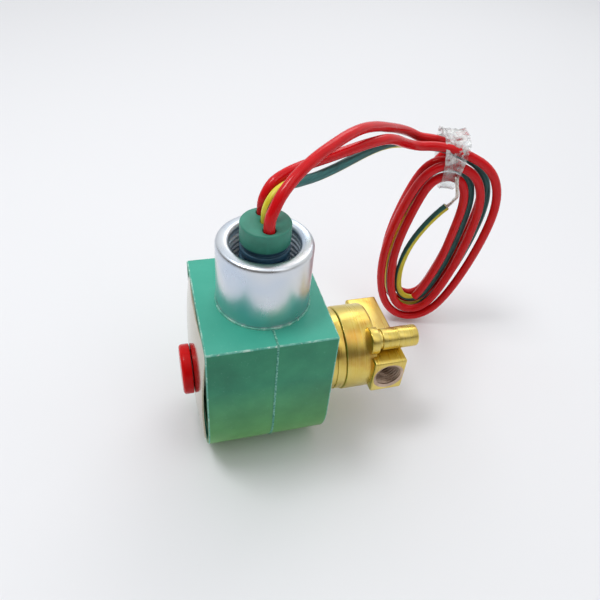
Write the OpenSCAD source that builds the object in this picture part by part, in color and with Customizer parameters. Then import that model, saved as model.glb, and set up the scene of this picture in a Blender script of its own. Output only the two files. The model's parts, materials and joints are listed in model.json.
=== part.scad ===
// Direct-acting solenoid valve with a moulded coil, a conduit hub and leads tied in a hank
// Millimetres, +Z up, the solenoid axis runs along X from the cap end to the port end
// The origin is on the inlet port's axis, where its thread starts behind the mouth's chamfer

/* [Coil] */
// Width of the moulded coil across its flat sides
coil_width = 43; // [40:0.5:48]
// Length of the coil along the solenoid axis
coil_length = 39.3; // [36:0.1:46]
// Height of the flat top above the solenoid axis
coil_top = 28.4; // [26:0.1:34]
// Depth of the round bottom below the solenoid axis
coil_drop = 28.4; // [26:0.1:34]
// Width of the raised lip round the front face
lip_width = 1.6; // [1:0.1:3]
// Depth of the front recess that holds the nameplate
lip_depth = 1.2; // [0.8:0.1:2]
// Width of the raised mould seam at the hub's station
seam_width = 0.7; // [0.4:0.1:1.2]
// Height of the raised mould seam
seam_rise = 0.18; // [0.1:0.02:0.4]
// Epoxy between the front recess and the wound parts
front_wall = 2.4; // [1.6:0.1:4]
// Epoxy between the wound parts and the rear face
rear_wall = 2.4; // [1.6:0.1:4]
// Running clearance between the coil's bore and the core tube
coil_clear = 0.15; // [0.1:0.05:0.3]

/* [Coil inside] */
// Outer diameter of the steel flux sleeve
yoke_dia = 35; // [31:0.5:37]
// Wall of the steel flux sleeve
yoke_wall = 1.5; // [1:0.1:2]
// Thickness of each steel flux plate
flux_plate = 1.5; // [1:0.1:2.2]
// Wall of the bobbin's tube
bobbin_wall = 1; // [0.7:0.1:1.5]
// Thickness of each bobbin flange
bobbin_flange = 1.2; // [0.8:0.1:2]
// Depth of the wound copper from the bobbin's tube outwards
winding_depth = 7; // [5:0.1:7.6]
// Gap between moulded-in pieces
mould_gap = 0.1; // [0.05:0.05:0.2]

/* [Nameplate] */
// Thickness of the bare nameplate
plate_thick = 0.5; // [0.3:0.1:0.8]
// Dark gap between the nameplate and the lip
plate_gap = 0.5; // [0.3:0.1:0.8]
// Rise of the dished nameplate's middle over its corners
dish_depth = 3.1; // [2.4:0.1:3.5]

/* [Conduit hub] */
// Outer diameter of the steel hub
hub_dia = 28.6; // [26:0.1:32]
// Inside diameter of the hub at its thread
hub_bore = 20.6; // [19:0.1:22]
// Height of the hub above the coil's top
hub_height = 21.8; // [18:0.1:26]
// Rounding of the hub's rim
hub_round = 1.4; // [0.8:0.1:1.8]
// Depth of the round seat in the coil's top
hub_seat = 1; // [0.6:0.1:2]
// Distance of the hub's axis from the middle of the coil, towards the valve
hub_shift = 1.2; // [0:0.1:2]
// Width of the moulded ring round the hub's foot
flash_width = 0.6; // [0.4:0.1:1.2]
// Height of the moulded ring round the hub's foot
flash_height = 0.5; // [0.3:0.1:1]

/* [Lead boot] */
// Diameter of the boot
boot_dia = 14.8; // [14:0.1:16.4]
// Height of the boot's top above the hub's rim
boot_rise = 6.2; // [4:0.1:8]
// Length of the plain skirt below the boot's top
boot_skirt = 6; // [4:0.1:8]
// Depth of the grooves between the boot's ribs
rib_depth = 0.9; // [0.5:0.1:1.2]
// Width of one rib and also of the groove above it
rib_width = 1.7; // [1.2:0.1:2]
// Number of ribs under the skirt
rib_count = 4; // [3:1:4]
// Height of the foot that fills the hub's bore
foot_height = 2; // [1:0.1:4]
// Distance between neighbouring leads in the boot
lead_pitch = 4.5; // [4:0.1:4.8]

/* [Core tube and core] */
// Outer diameter of the core tube
tube_dia = 13; // [12.6:0.1:13.4]
// Wall of the core tube
tube_wall = 0.6; // [0.5:0.05:0.8]
// Length of core tube that stands out of the coil's front face
tube_nose = 1; // [0.5:0.1:1.6]
// Depth of the core tube's seat in the bonnet
tube_seat = 5; // [4:0.1:5.6]
// Running clearance between the core and the tube
core_clear = 0.1; // [0.05:0.01:0.1]
// Length of the moving core
core_length = 34.5; // [30:0.1:38]
// Lift of the core when the coil is on
stroke = 1.6; // [1:0.1:2.4]
// Air gap left between core and plugnut at full lift
air_gap = 0.1; // [0.05:0.05:0.3]
// Diameter of the seat disc
disc_dia = 6.8; // [6:0.1:8]
// Thickness of the seat disc
disc_thick = 2.4; // [1.8:0.1:3.2]
// Length of seat disc that stands out of the core
disc_proud = 0.4; // [0.2:0.1:0.8]
// Gap left between the shut disc and the seat
seat_gap = 0.1; // [0.05:0.05:0.2]
// Slip clearance of pieces that seat in each other
fit_gap = 0.05; // [0.02:0.01:0.1]

/* [Core spring] */
// Wire diameter of the core spring
spring_wire = 0.7; // [0.5:0.05:0.8]
// Mean diameter of the core spring
spring_dia = 5; // [4.4:0.1:5.4]
// Number of curls
spring_curls = 7; // [5:1:9]
// Depth of the spring's pocket in the core
pocket_depth = 12; // [9:0.1:14]
// Diameter of the spring's pocket in the core
pocket_dia = 6.6; // [6.4:0.1:7.4]

/* [Plugnut and cap] */
// Length of the plugnut's head over the end of the tube
plug_head = 1; // [0.6:0.1:1.6]
// Length of the plugnut's stub that the cap grips
stub_grip = 2.4; // [1.8:0.1:3]
// Diameter of that stub
grip_dia = 8; // [6:0.1:9]
// Inner diameter of the copper shading ring
shade_bore = 8; // [7:0.1:8.4]
// Radial width of the shading ring
shade_width = 1; // [0.6:0.1:1.2]
// Depth of the shading ring
shade_depth = 1.8; // [1.2:0.1:2.5]
// Outer diameter of the red retaining cap
cap_dia = 16.6; // [15.6:0.1:19]
// Thickness of the cap's front
cap_front = 1.4; // [0.8:0.1:2]
// Rounding of the cap's front edge
cap_round = 1.1; // [0.5:0.1:1.2]

/* [Bonnet and washer] */
// Space between the coil and the bonnet for the spring washer
washer_space = 1.9; // [1.4:0.1:3]
// Outer diameter of the spring washer
washer_dia = 26; // [22:0.1:28]
// Thickness of the spring washer
washer_thick = 0.5; // [0.4:0.1:0.8]
// Diameter of the bonnet's round flange
bonnet_dia = 28.2; // [27:0.1:30]
// Length of the bonnet's flange
bonnet_length = 6.1; // [5.9:0.1:8]
// Distance of the turned groove from the flange's coil side
groove_from = 2.6; // [1.5:0.1:4]
// Width of the turned groove
groove_width = 0.5; // [0.3:0.1:0.8]
// Depth of the turned groove
groove_depth = 0.4; // [0.2:0.1:0.8]
// Diameter of the bonnet's screwed spigot
spigot_dia = 22; // [20:0.1:22.6]
// Length of the bonnet's screwed spigot
spigot_length = 5.2; // [4:0.1:5.4]
// Section diameter of the body gasket
gasket_wire = 1.6; // [1.2:0.1:1.8]

/* [Valve body] */
// Diameter of the valve body's barrel
barrel_dia = 29.2; // [28.6:0.1:32]
// Length of the barrel
barrel_length = 10.9; // [10.4:0.1:14]
// Depth of the barrel's inner chamber
chamber_depth = 7.9; // [7.6:0.1:8.6]
// Height of the seat above the chamber's floor
seat_height = 1; // [0.6:0.1:1.4]
// Outer diameter of the seat
seat_dia = 5.2; // [4.4:0.1:6]
// Diameter of the orifice through the seat
orifice_dia = 2.4; // [1.6:0.1:3.2]
// Diameter of the flow passages
passage_dia = 3; // [2.4:0.1:3.6]
// Width of the port bar along the solenoid axis
bar_width = 11.6; // [11:0.1:14]
// Height of the port bar
bar_height = 13.8; // [12:0.1:16]
// Half length of the port bar, from the solenoid axis to a port's mouth
port_half = 16.4; // [15:0.1:20]
// Rounding of the port bar's long edges
bar_round = 0.9; // [0.5:0.1:2]
// Sinking of the port bar into the barrel's end
bar_sink = 2.2; // [1:0.1:2.6]
// Diameter of the tapped port holes
port_dia = 9; // [8.4:0.1:9.4]
// Depth of the tapped port holes
port_depth = 9; // [7:0.1:9.6]
// Chamfer at the mouth of a port
port_chamfer = 0.5; // [0.3:0.1:0.8]

/* [End stub] */
// Diameter of the plain brass stub
stub_dia = 7.4; // [6:0.1:7.6]
// Reach of the stub past the barrel's end
stub_reach = 14; // [10:0.1:20]
// Depth of the stub's socket
stub_socket = 2; // [1.5:0.1:2.2]
// Distance of the stub's axis from the solenoid axis, towards the inlet
stub_side = 9; // [7:0.1:10]
// Gap between the stub and the flat of the port bar
stub_gap = 0.25; // [0.1:0.05:1]
// Wall of the round socket boss
boss_wall = 0.9; // [0.6:0.1:1.5]
// Length of the round socket boss
boss_length = 3; // [2.6:0.1:4]

/* [Leads] */
// Diameter of a red lead
red_dia = 3.3; // [2.8:0.1:3.4]
// Diameter of the ground lead
ground_dia = 2.9; // [2.4:0.1:3]
// Diameter of the bared ground strands
strand_dia = 1.2; // [0.9:0.1:1.5]

/* [Hank] */
// Height of the hank, which all its stations follow
hank_high = 80; // [79:0.5:84]
// Distance between the leads' layers
hank_layer = 4; // [3.8:0.1:4.6]
// Turns of the red lead from the near hole
near_turns = 2.1; // [2.06:0.01:2.12]
// Turns of the red lead from the far hole
far_turns = 2.56; // [2.3:0.01:2.6]
// Turns of the ground lead
ground_turns = 1.95; // [1.9:0.01:1.98]
// Width of the tape tie along the leads
tie_width = 7.5; // [6:0.1:8]
// Thickness of the tape tie
tie_thick = 0.5; // [0.3:0.1:1]
// Clearance between the tape tie and the leads
tie_gap = 0.3; // [0.2:0.1:0.6]

/* [Hidden] */
$fn = 64;
eps = 0.01;

// stations along the solenoid axis, from the coil's front face
bonnet_x = coil_length + washer_space;
body_x = bonnet_x + bonnet_length;
barrel_end = body_x + barrel_length;
chamber_floor = body_x + chamber_depth;
seat_x = chamber_floor - seat_height;
bar_x = barrel_end - bar_sink;
port_x = bar_x + bar_width / 2;
disc_x = seat_x - seat_gap;
core_end = disc_x - disc_proud;
core_x = core_end - core_length;
plug_face = core_x - stroke - air_gap;
hub_x = coil_length / 2 + hub_shift;

// radii that several pieces share
tube_r = tube_dia / 2;
tube_bore = tube_r - tube_wall;
core_r = tube_bore - core_clear;
coil_bore = tube_r + coil_clear;
yoke_r = yoke_dia / 2;
spigot_r = spigot_dia / 2;
chamber_r = spigot_r + fit_gap;
gasket_r = chamber_r + gasket_wire / 2;

// stations inside the coil
wound_x = lip_depth + front_wall;
wound_end = coil_length - rear_wall;
plate_in = wound_x + flux_plate + 2 * mould_gap;
plate_out = wound_end - flux_plate - 2 * mould_gap;

// heights at the hub
hub_foot = coil_top - hub_seat;
hub_rim = coil_top + hub_height;
boot_top = hub_rim + boot_rise;
stub_z = bar_height / 2 + stub_gap + stub_dia / 2;

// the frame: everything is drawn on the solenoid axis and moved to the inlet
module place() {
    translate([-port_x, port_half - port_chamfer, 0])
        children();
}

module along_x(x) {
    translate([x, 0, 0])
        rotate([0, 90, 0])
            children();
}

module extrude_x(x, length) {
    translate([x, 0, 0])
        rotate([90, 0, 90])
            linear_extrude(length)
                children();
}

// flat top, flat sides and a half-round bottom
module u_profile(inset) {
    w = coil_width - 2 * inset;
    low = coil_width / 2 - coil_drop;
    translate([0, low])
        circle(d = w);
    translate([-w / 2, low])
        square([w, coil_top - inset - low]);
}

// a ring about X between two radii and two stations
module ring_x(r_in, r_out, x_a, x_b) {
    along_x(0)
        rotate_extrude()
            translate([r_in, x_a])
                square([r_out - r_in, x_b - x_a]);
}

module coil_housing() {
    color([0.13, 0.52, 0.45])
    place()
    difference() {
        union() {
            extrude_x(0, coil_length)
                u_profile(0);
            extrude_x(hub_x - seam_width / 2, seam_width)
                u_profile(-seam_rise);
            translate([hub_x, 0, hub_foot])
                cylinder(d = hub_dia + 2 * flash_width, h = hub_seat + flash_height);
        }
        extrude_x(-1, lip_depth + 1)
            u_profile(lip_width);
        along_x(-1)
            cylinder(r = coil_bore, h = coil_length + 2);
        along_x(wound_x)
            cylinder(r = yoke_r + mould_gap, h = wound_end - wound_x);
        translate([hub_x, 0, hub_foot])
            cylinder(r = hub_dia / 2 + fit_gap, h = hub_seat + flash_height + 1);
    }
}

// dished on the solenoid axis, so that its corners rest in the recess and its middle meets the cap
plate_half = coil_width / 2 - lip_width - plate_gap;
plate_corner = norm([plate_half, coil_top - lip_width - plate_gap]);
dish_r = (pow(plate_corner, 2) + pow(dish_depth, 2)) / (2 * dish_depth);
dish_x = lip_depth - mould_gap - dish_depth + dish_r;
plate_face = dish_x - sqrt(pow(dish_r + plate_thick, 2) - pow(coil_bore, 2));
dish_room = dish_depth + plate_thick;

module nameplate() {
    color([0.80, 0.78, 0.68])
    place()
    difference() {
        intersection() {
            extrude_x(-dish_room, dish_room + lip_depth)
                u_profile(lip_width + plate_gap);
            translate([dish_x, 0, 0])
                sphere(r = dish_r + plate_thick);
        }
        translate([dish_x, 0, 0])
            sphere(r = dish_r);
        along_x(-dish_room)
            cylinder(r = coil_bore, h = dish_room + 2 * lip_depth);
    }
}

module bobbin() {
    color([0.85, 0.83, 0.76])
    place() {
        ring_x(coil_bore, coil_bore + bobbin_wall, plate_in, plate_out);
        ring_x(coil_bore, yoke_r - yoke_wall - mould_gap, plate_in, plate_in + bobbin_flange);
        ring_x(coil_bore, yoke_r - yoke_wall - mould_gap, plate_out - bobbin_flange, plate_out);
    }
}

module winding() {
    color([0.72, 0.40, 0.20])
    place()
    ring_x(coil_bore + bobbin_wall + mould_gap, coil_bore + bobbin_wall + mould_gap + winding_depth,
        plate_in + bobbin_flange + mould_gap, plate_out - bobbin_flange - mould_gap);
}

module flux_sleeve() {
    color([0.55, 0.56, 0.58])
    place()
    ring_x(yoke_r - yoke_wall, yoke_r, plate_in, plate_out);
}

module flux_plate_front() {
    color([0.60, 0.61, 0.63])
    place()
    ring_x(coil_bore, yoke_r, wound_x + mould_gap, wound_x + mould_gap + flux_plate);
}

module flux_plate_rear() {
    color([0.60, 0.61, 0.63])
    place()
    ring_x(coil_bore, yoke_r, wound_end - mould_gap - flux_plate, wound_end - mould_gap);
}

// wall with a rounded rim, then a thread relief at the foot
module conduit_hub() {
    r_out = hub_dia / 2;
    r_in = hub_bore / 2;
    color([0.78, 0.79, 0.80])
    place()
    translate([hub_x, 0, 0])
    rotate_extrude() {
        translate([r_in, hub_foot])
            square([r_out - r_in, hub_rim - hub_round - hub_foot]);
        translate([r_in + hub_round, hub_foot])
            square([r_out - r_in - 2 * hub_round, hub_rim - hub_foot]);
        translate([r_in + hub_round, hub_rim - hub_round])
            circle(r = hub_round);
        translate([r_out - hub_round, hub_rim - hub_round])
            circle(r = hub_round);
    }
}

module lead_boot() {
    color([0.10, 0.45, 0.40])
    place()
    translate([hub_x, 0, 0])
    difference() {
        union() {
            translate([0, 0, hub_foot])
                cylinder(d = boot_dia, h = boot_top - hub_foot);
            translate([0, 0, hub_foot])
                cylinder(r = hub_bore / 2 - fit_gap, h = foot_height);
        }
        for (i = [0 : rib_count - 1])
            translate([0, 0, boot_top - boot_skirt - (2 * i + 1) * rib_width])
                rotate_extrude()
                    translate([boot_dia / 2 - rib_depth, 0])
                        square([rib_depth + 1, rib_width]);
    }
}

module core_tube() {
    color([0.75, 0.76, 0.78])
    place()
    ring_x(tube_bore, tube_r, -tube_nose, bonnet_x + tube_seat);
}

module plugnut() {
    color([0.70, 0.71, 0.73])
    place()
    difference() {
        union() {
            along_x(-tube_nose)
                cylinder(r = tube_bore - fit_gap, h = plug_face + tube_nose);
            along_x(-tube_nose - plug_head)
                cylinder(r = tube_r, h = plug_head);
            along_x(-tube_nose - plug_head - stub_grip)
                cylinder(d = grip_dia, h = stub_grip + plug_head);
        }
        ring_x(shade_bore / 2 - fit_gap, shade_bore / 2 + shade_width + fit_gap,
            plug_face - shade_depth - fit_gap, plug_face + 1);
    }
}

module shading_ring() {
    color([0.80, 0.45, 0.25])
    place()
    ring_x(shade_bore / 2, shade_bore / 2 + shade_width, plug_face - shade_depth, plug_face);
}

// a cup with a rounded front edge, gripping the plugnut's stub
module retaining_cap() {
    front = -tube_nose - plug_head - stub_grip - fit_gap - cap_front;
    back = plate_face - coil_clear;
    r = cap_dia / 2;
    color([0.80, 0.06, 0.06])
    place()
    difference() {
        along_x(0)
            rotate_extrude() {
                translate([0, front])
                    square([r - cap_round, back - front]);
                translate([0, front + cap_round])
                    square([r, back - front - cap_round]);
                translate([r - cap_round, front + cap_round])
                    circle(r = cap_round);
            }
        along_x(-tube_nose - plug_head - stub_grip - fit_gap)
            cylinder(r = grip_dia / 2 + fit_gap, h = back - front);
        along_x(-tube_nose - plug_head - fit_gap)
            cylinder(r = tube_r + fit_gap, h = back - front);
    }
}

// dished washer that keeps the coil from rattling
module spring_washer() {
    x_in = coil_length + 2 * coil_clear;
    x_out = bonnet_x - washer_thick;
    r_in = tube_r + 2 * coil_clear;
    r_out = washer_dia / 2;
    color([0.66, 0.67, 0.69])
    place()
    along_x(0)
        rotate_extrude()
            polygon([[r_in, x_in], [r_out, x_out], [r_out, x_out + washer_thick], [r_in, x_in + washer_thick]]);
}

module bonnet() {
    r = bonnet_dia / 2;
    color([0.82, 0.69, 0.36])
    place()
    difference() {
        union() {
            along_x(bonnet_x)
                cylinder(r = r, h = bonnet_length);
            along_x(bonnet_x)
                cylinder(r = spigot_r, h = bonnet_length + spigot_length);
        }
        ring_x(r - groove_depth, r + 1, bonnet_x + groove_from, bonnet_x + groove_from + groove_width);
        along_x(bonnet_x - 1)
            cylinder(r = tube_r + fit_gap, h = tube_seat + fit_gap + 1);
        along_x(bonnet_x - 1)
            cylinder(r = tube_bore, h = bonnet_length + spigot_length + 2);
    }
}

module body_gasket() {
    color([0.08, 0.08, 0.08])
    place()
    along_x(body_x + gasket_wire / 2)
        rotate_extrude()
            translate([gasket_r, 0])
                circle(d = gasket_wire);
}

// the port bar's section, with rounded long edges
module bar_profile() {
    for (x = [bar_round, bar_width - bar_round], z = [-1, 1])
        translate([x, z * (bar_height / 2 - bar_round)])
            circle(r = bar_round);
    translate([bar_round, -bar_height / 2])
        square([bar_width - 2 * bar_round, bar_height]);
    translate([0, bar_round - bar_height / 2])
        square([bar_width, bar_height - 2 * bar_round]);
}

// one tapped port, bored from its mouth at the given side of the bar
module port_hole(side) {
    translate([port_x, side * (port_half - port_depth), 0])
        rotate([-side * 90, 0, 0]) {
            cylinder(d = port_dia, h = port_depth + 1);
            translate([0, 0, port_depth - port_chamfer])
                cylinder(d1 = port_dia, d2 = port_dia + 4 * port_chamfer, h = 2 * port_chamfer);
        }
}

module valve_body() {
    color([0.80, 0.66, 0.32])
    place()
    difference() {
        union() {
            along_x(body_x)
                cylinder(d = barrel_dia, h = barrel_length);
            translate([bar_x, port_half, 0])
                rotate([90, 0, 0])
                    linear_extrude(2 * port_half)
                        bar_profile();
            translate([0, -stub_side, stub_z])
                along_x(barrel_end - boss_length)
                    cylinder(r = stub_dia / 2 + boss_wall, h = boss_length);
        }
        difference() {
            along_x(body_x - 1)
                cylinder(r = chamber_r, h = chamber_depth + 1);
            along_x(seat_x)
                cylinder(d = seat_dia, h = seat_height + 1);
        }
        along_x(body_x - 1)
            cylinder(r = gasket_r + gasket_wire / 2 + fit_gap, h = gasket_wire + fit_gap + 1);
        port_hole(-1);
        port_hole(1);
        // inlet passage, from the port into the chamber beside the seat
        translate([0, -(port_half - port_depth + passage_dia / 2), 0])
            along_x(chamber_floor - 1)
                cylinder(d = passage_dia, h = port_x - chamber_floor + 1);
        // outlet passage, from the seat's orifice across to the other port
        along_x(seat_x - 1)
            cylinder(d = orifice_dia, h = port_x - seat_x + 1);
        translate([port_x, -orifice_dia / 2, 0])
            rotate([-90, 0, 0])
                cylinder(d = passage_dia, h = port_half - port_depth + orifice_dia / 2 + 1);
        translate([0, -stub_side, stub_z])
            along_x(barrel_end - stub_socket)
                cylinder(r = stub_dia / 2 + fit_gap, h = stub_socket + 1);
    }
}

// plain stub with a neck at its foot and a fine turned line half way
module end_stub() {
    neck = 0.5;
    line = 0.3;
    color([0.84, 0.70, 0.36])
    place()
    translate([0, -stub_side, stub_z])
    difference() {
        along_x(barrel_end - stub_socket + fit_gap)
            cylinder(d = stub_dia, h = stub_socket + stub_reach - fit_gap);
        ring_x(stub_dia / 2 - neck, stub_dia, barrel_end + neck, barrel_end + 2.5 * neck);
        ring_x(stub_dia / 2 - line / 2, stub_dia, barrel_end + stub_reach / 2 - line, barrel_end + stub_reach / 2);
    }
}

module core() {
    color([0.72, 0.73, 0.75])
    place()
    difference() {
        along_x(core_x)
            cylinder(r = core_r, h = core_length);
        along_x(core_x - 1)
            cylinder(d = pocket_dia, h = pocket_depth + 1);
        along_x(core_end - disc_thick + disc_proud - fit_gap)
            cylinder(r = disc_dia / 2 + fit_gap, h = disc_thick + 1);
    }
}

module core_disc() {
    color([0.07, 0.07, 0.08])
    place()
    along_x(disc_x - disc_thick)
        cylinder(d = disc_dia, h = disc_thick);
}

// sweeping a tube of straight facets along points

function unit(v) = v / norm(v);
function tangent(p, i) = unit(p[min(i + 1, len(p) - 1)] - p[max(i - 1, 0)]);
function ring_at(c, t, ref, r, n) =
    let (u = unit(cross(ref, t)), v = cross(t, u))
    [for (k = [0 : n - 1]) c + r * (cos(360 * k / n) * u + sin(360 * k / n) * v)];
function run_length(p) = len(p) < 2 ? 0 :
    [for (i = 0, s = 0; i < len(p); i = i + 1, s = s + (i < len(p) ? norm(p[i] - p[i - 1]) : 0)) s][len(p) - 1];

module tube(p, r, n, ref) {
    m = len(p);
    points = [for (i = [0 : m - 1]) each ring_at(p[i], tangent(p, i), ref, r, n)];
    walls = [for (i = [0 : m - 2], k = [0 : n - 1])
        let (a = i * n + k, b = i * n + (k + 1) % n)
        each [[a, a + n, b + n], [a, b + n, b]]];
    foot = [for (k = [1 : n - 2]) [0, k, k + 1]];
    head = [for (k = [1 : n - 2]) [(m - 1) * n, (m - 1) * n + k + 1, (m - 1) * n + k]];
    polyhedron(points = points, faces = concat(walls, foot, head), convexity = 10);
}

// least distance between stretches of one path that are more than skip rings apart
function least_gap(p, skip, dia) =
    min([for (i = [0 : len(p) - 1 - skip], j = [i + skip : len(p) - 1]) norm(p[i] - p[j])]) - dia;

// core spring: from the plugnut's face to the foot of its pocket
spring_x = plug_face + spring_wire / 2 + fit_gap;
spring_end = core_x + pocket_depth - spring_wire / 2 - fit_gap;
spring_path = [for (i = [0 : 8 * spring_curls])
    let (a = 45 * i, s = i / (8 * spring_curls))
    [spring_x + (spring_end - spring_x) * s, spring_dia / 2 * cos(a), spring_dia / 2 * sin(a)]];

module core_spring() {
    color([0.62, 0.63, 0.65])
    place()
    tube(spring_path, spring_wire / 2, 6, [1, 0, 0]);
}

// the hank stands upright behind the valve, turned to face the photograph's side
hank_at = [93.6, 39, 0];
hank_turn = -15;
hank_scale = hank_high / 80;

// stations round the first turn, clockwise from the tie, chosen by hand:
// place across and up, then the step across and up for each further turn
hank_stations = [
    [-5.5, 54, 1.7, -4.6],
    [8.5, 54.5, -0.6, -4.4],
    [20.5, 49.5, -4.2, -4.2],
    [26.6, 37.5, -6, -2.4],
    [27, 23.5, -6.2, -0.6],
    [24.2, 5.5, -5, 0.6],
    [19.2, -14, -4.4, 1.9],
    [11.5, -27.2, -2, 4.2],
    [-2, -29.8, 1, 4.7],
    [-14, -18.5, 3.9, 2.2],
    [-18.4, 7.5, 4.3, 0.2],
    [-14, 33.5, 4.3, -1.7]];
station_count = len(hank_stations);
hank_left = min([for (s = hank_stations) s[0]]);
hank_right = max([for (s = hank_stations) s[0]]);
rings_per_turn = 24;

// how far each lead is set in from the first turn, on the left and on the right, in turns
near_inset = [0.45, 0.6];
far_inset = [0, 0];
ground_inset = [0.8, 0.45];

// how high over the first turn each lead comes in, and the share of a turn it takes
near_lift = 6.5;
far_lift = 5.5;
ground_lift = 6;
entry_turn = 0.14;

// the turn at which each end leaves its loop, then how far it moves across, over and up
near_end = [1.97, 3, 1.06, 15];
far_end = [2.05, -3, 0, 0];
ground_end = [1.72, 9.5, 0, -4];
over_start = 1.78;
over_turn = 0.14;

function station(j, inset) =
    let (s = hank_stations[(j + station_count) % station_count],
        right = (s[0] - hank_left) / (hank_right - hank_left),
        n = j / station_count + inset[0] + (inset[1] - inset[0]) * right)
    [s[0] + s[2] * n, s[1] + s[3] * n];
function blend(a, b, c, d, u) =
    (pow(1 - u, 3) * a + (3 * pow(u, 3) - 6 * pow(u, 2) + 4) * b
        + (-3 * pow(u, 3) + 3 * pow(u, 2) + 3 * u + 1) * c + pow(u, 3) * d) / 6;
function ease(x) = let (v = min(1, max(0, x))) v * v * (3 - 2 * v);
function hank_point(t, turns, layer, inset, lift, end) =
    let (j = floor(t * station_count + eps / 10),
        p = blend(station(j - 1, inset), station(j, inset), station(j + 1, inset), station(j + 2, inset),
            t * station_count - j),
        entry = lift * pow(max(0, 1 - t / entry_turn), 2),
        leave = pow(max(0, t - end[0]) / (turns - end[0]), 2),
        over = end[2] * ease((t - over_start) / over_turn))
    [hank_scale * (p[0] + end[1] * leave), (layer + over) * hank_layer, hank_scale * (p[1] + entry + end[3] * leave)];
function hank_path(turns, layer, inset, lift, end) =
    let (count = round(rings_per_turn * turns))
    [for (i = [0 : count]) hank_point(i * turns / count, turns, layer, inset, lift, end)];
function to_world(p) =
    hank_at + [p[0] * cos(hank_turn) - p[1] * sin(hank_turn), p[0] * sin(hank_turn) + p[1] * cos(hank_turn), p[2]];
function world_path(path) = [for (p = path) to_world(p)];

path_near = hank_path(near_turns, 1, near_inset, near_lift, near_end);
path_ground = hank_path(ground_turns, 0, ground_inset, ground_lift, ground_end);
path_far = hank_path(far_turns, -1, far_inset, far_lift, far_end);
hank_across = [-sin(hank_turn), cos(hank_turn), 0];

module hank_red_near() {
    color([0.78, 0.08, 0.10])
    place()
    tube(world_path(path_near), red_dia / 2, 6, hank_across);
}

module hank_red_far() {
    color([0.72, 0.07, 0.09])
    place()
    tube(world_path(path_far), red_dia / 2, 6, hank_across);
}

module hank_ground() {
    color([0.10, 0.55, 0.40])
    place()
    tube(world_path(path_ground), ground_dia / 2, 6, hank_across);
}

// free stretches: points chosen by hand, from the boot's top to the hank's first ring
route_across = [-0.45, 0.9, 0];
exit_run = [0, 0, 3];
route_near = [[22, -3.8, 62.2], [24.6, -1.9, 66], [29.6, 1.8, 69.4], [35.5, 6.2, 71.4], [41.5, 10.6, 72.4],
    [48, 15.6, 72.8], [54.5, 21, 71.8], [61.5, 27, 69.2], [68, 32.8, 65.8], [74, 38.4, 62.4], [79.5, 42.6, 59.4],
    [84.2, 44.6, 56.9]];
route_far = [[21.9, 5.2, 62.1], [24.4, 6.8, 64.6], [29.5, 9.2, 66], [36, 12.4, 66.2], [43, 15.8, 66],
    [50, 19, 66], [57.5, 22.4, 66], [65, 26, 65.2], [70.6, 29.6, 62.8], [75.4, 33.2, 59.6],
    [79.6, 36.2, 57.2]];
route_ground = [[21.9, 0.7, 62], [24, 2.1, 63.9], [27.4, 4.3, 64.6], [32.4, 7.5, 63.6], [38.5, 11.3, 62.6],
    [45.5, 15.8, 62.2], [52.5, 20.6, 62], [59.5, 25.6, 61.6], [66.5, 31, 60.2], [72.8, 35.8, 58.2],
    [78, 39.2, 56.2], [82.6, 40.9, 54.7]];

function whole_route(side, mid, path) =
    let (start = [hub_x, side * lead_pitch, boot_top],
        end = to_world(path[0]),
        way = unit(to_world(path[1]) - to_world(path[0])))
    concat([start, start + exit_run], mid, [end - 4 * way, end]);

run_near = whole_route(-1, route_near, path_near);
run_ground = whole_route(0, route_ground, path_ground);
run_far = whole_route(1, route_far, path_far);

module lead_red_near() {
    color([0.80, 0.09, 0.11])
    place()
    tube(run_near, red_dia / 2, 8, route_across);
}

module lead_red_far() {
    color([0.74, 0.08, 0.10])
    place()
    tube(run_far, red_dia / 2, 8, route_across);
}

module lead_ground() {
    color([0.10, 0.58, 0.42])
    place()
    tube(run_ground, ground_dia / 2, 8, route_across);
}

// bared strands at the ground lead's end
ground_last = path_ground[len(path_ground) - 1];
ground_way = unit(ground_last - path_ground[len(path_ground) - 2]);
strand_bend = ground_last + 2 * ground_way;
strand_path = [ground_last, strand_bend, strand_bend + [0, -2, 2.8], strand_bend + [-0.3, -4.8, 5.4],
    strand_bend + [-1.1, -7.2, 8.2], strand_bend + [-2.1, -7.5, 11.8], strand_bend + [-3.1, -7.5, 15.4]];

module ground_strands() {
    color([0.75, 0.72, 0.68])
    place()
    tube(world_path(strand_path), strand_dia / 2, 6, hank_across);
}

// clear tape wound once round the bundle at the hank's shoulder
tie_from = 0.5;
tie_low = 40.6;
tie_high = 56.2;
tie_near = -hank_layer;
tie_far = (1 + near_end[2]) * hank_layer;

// rounded section, grown by a margin round the outer leads' middles
module tie_profile(margin) {
    for (y = [tie_near, tie_far], z = [tie_low, tie_high])
        translate([y, z])
            circle(r = margin);
    translate([tie_near - margin, tie_low])
        square([tie_far - tie_near + 2 * margin, tie_high - tie_low]);
    translate([tie_near, tie_low - margin])
        square([tie_far - tie_near, tie_high - tie_low + 2 * margin]);
}

module wire_tie() {
    color([0.86, 0.88, 0.88])
    place()
    translate(hank_at)
        rotate([0, 0, hank_turn])
            difference() {
                extrude_x(tie_from, tie_width)
                    tie_profile(red_dia / 2 + tie_gap + tie_thick);
                extrude_x(tie_from - 1, tie_width + 2)
                    tie_profile(red_dia / 2 + tie_gap);
            }
}

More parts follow.
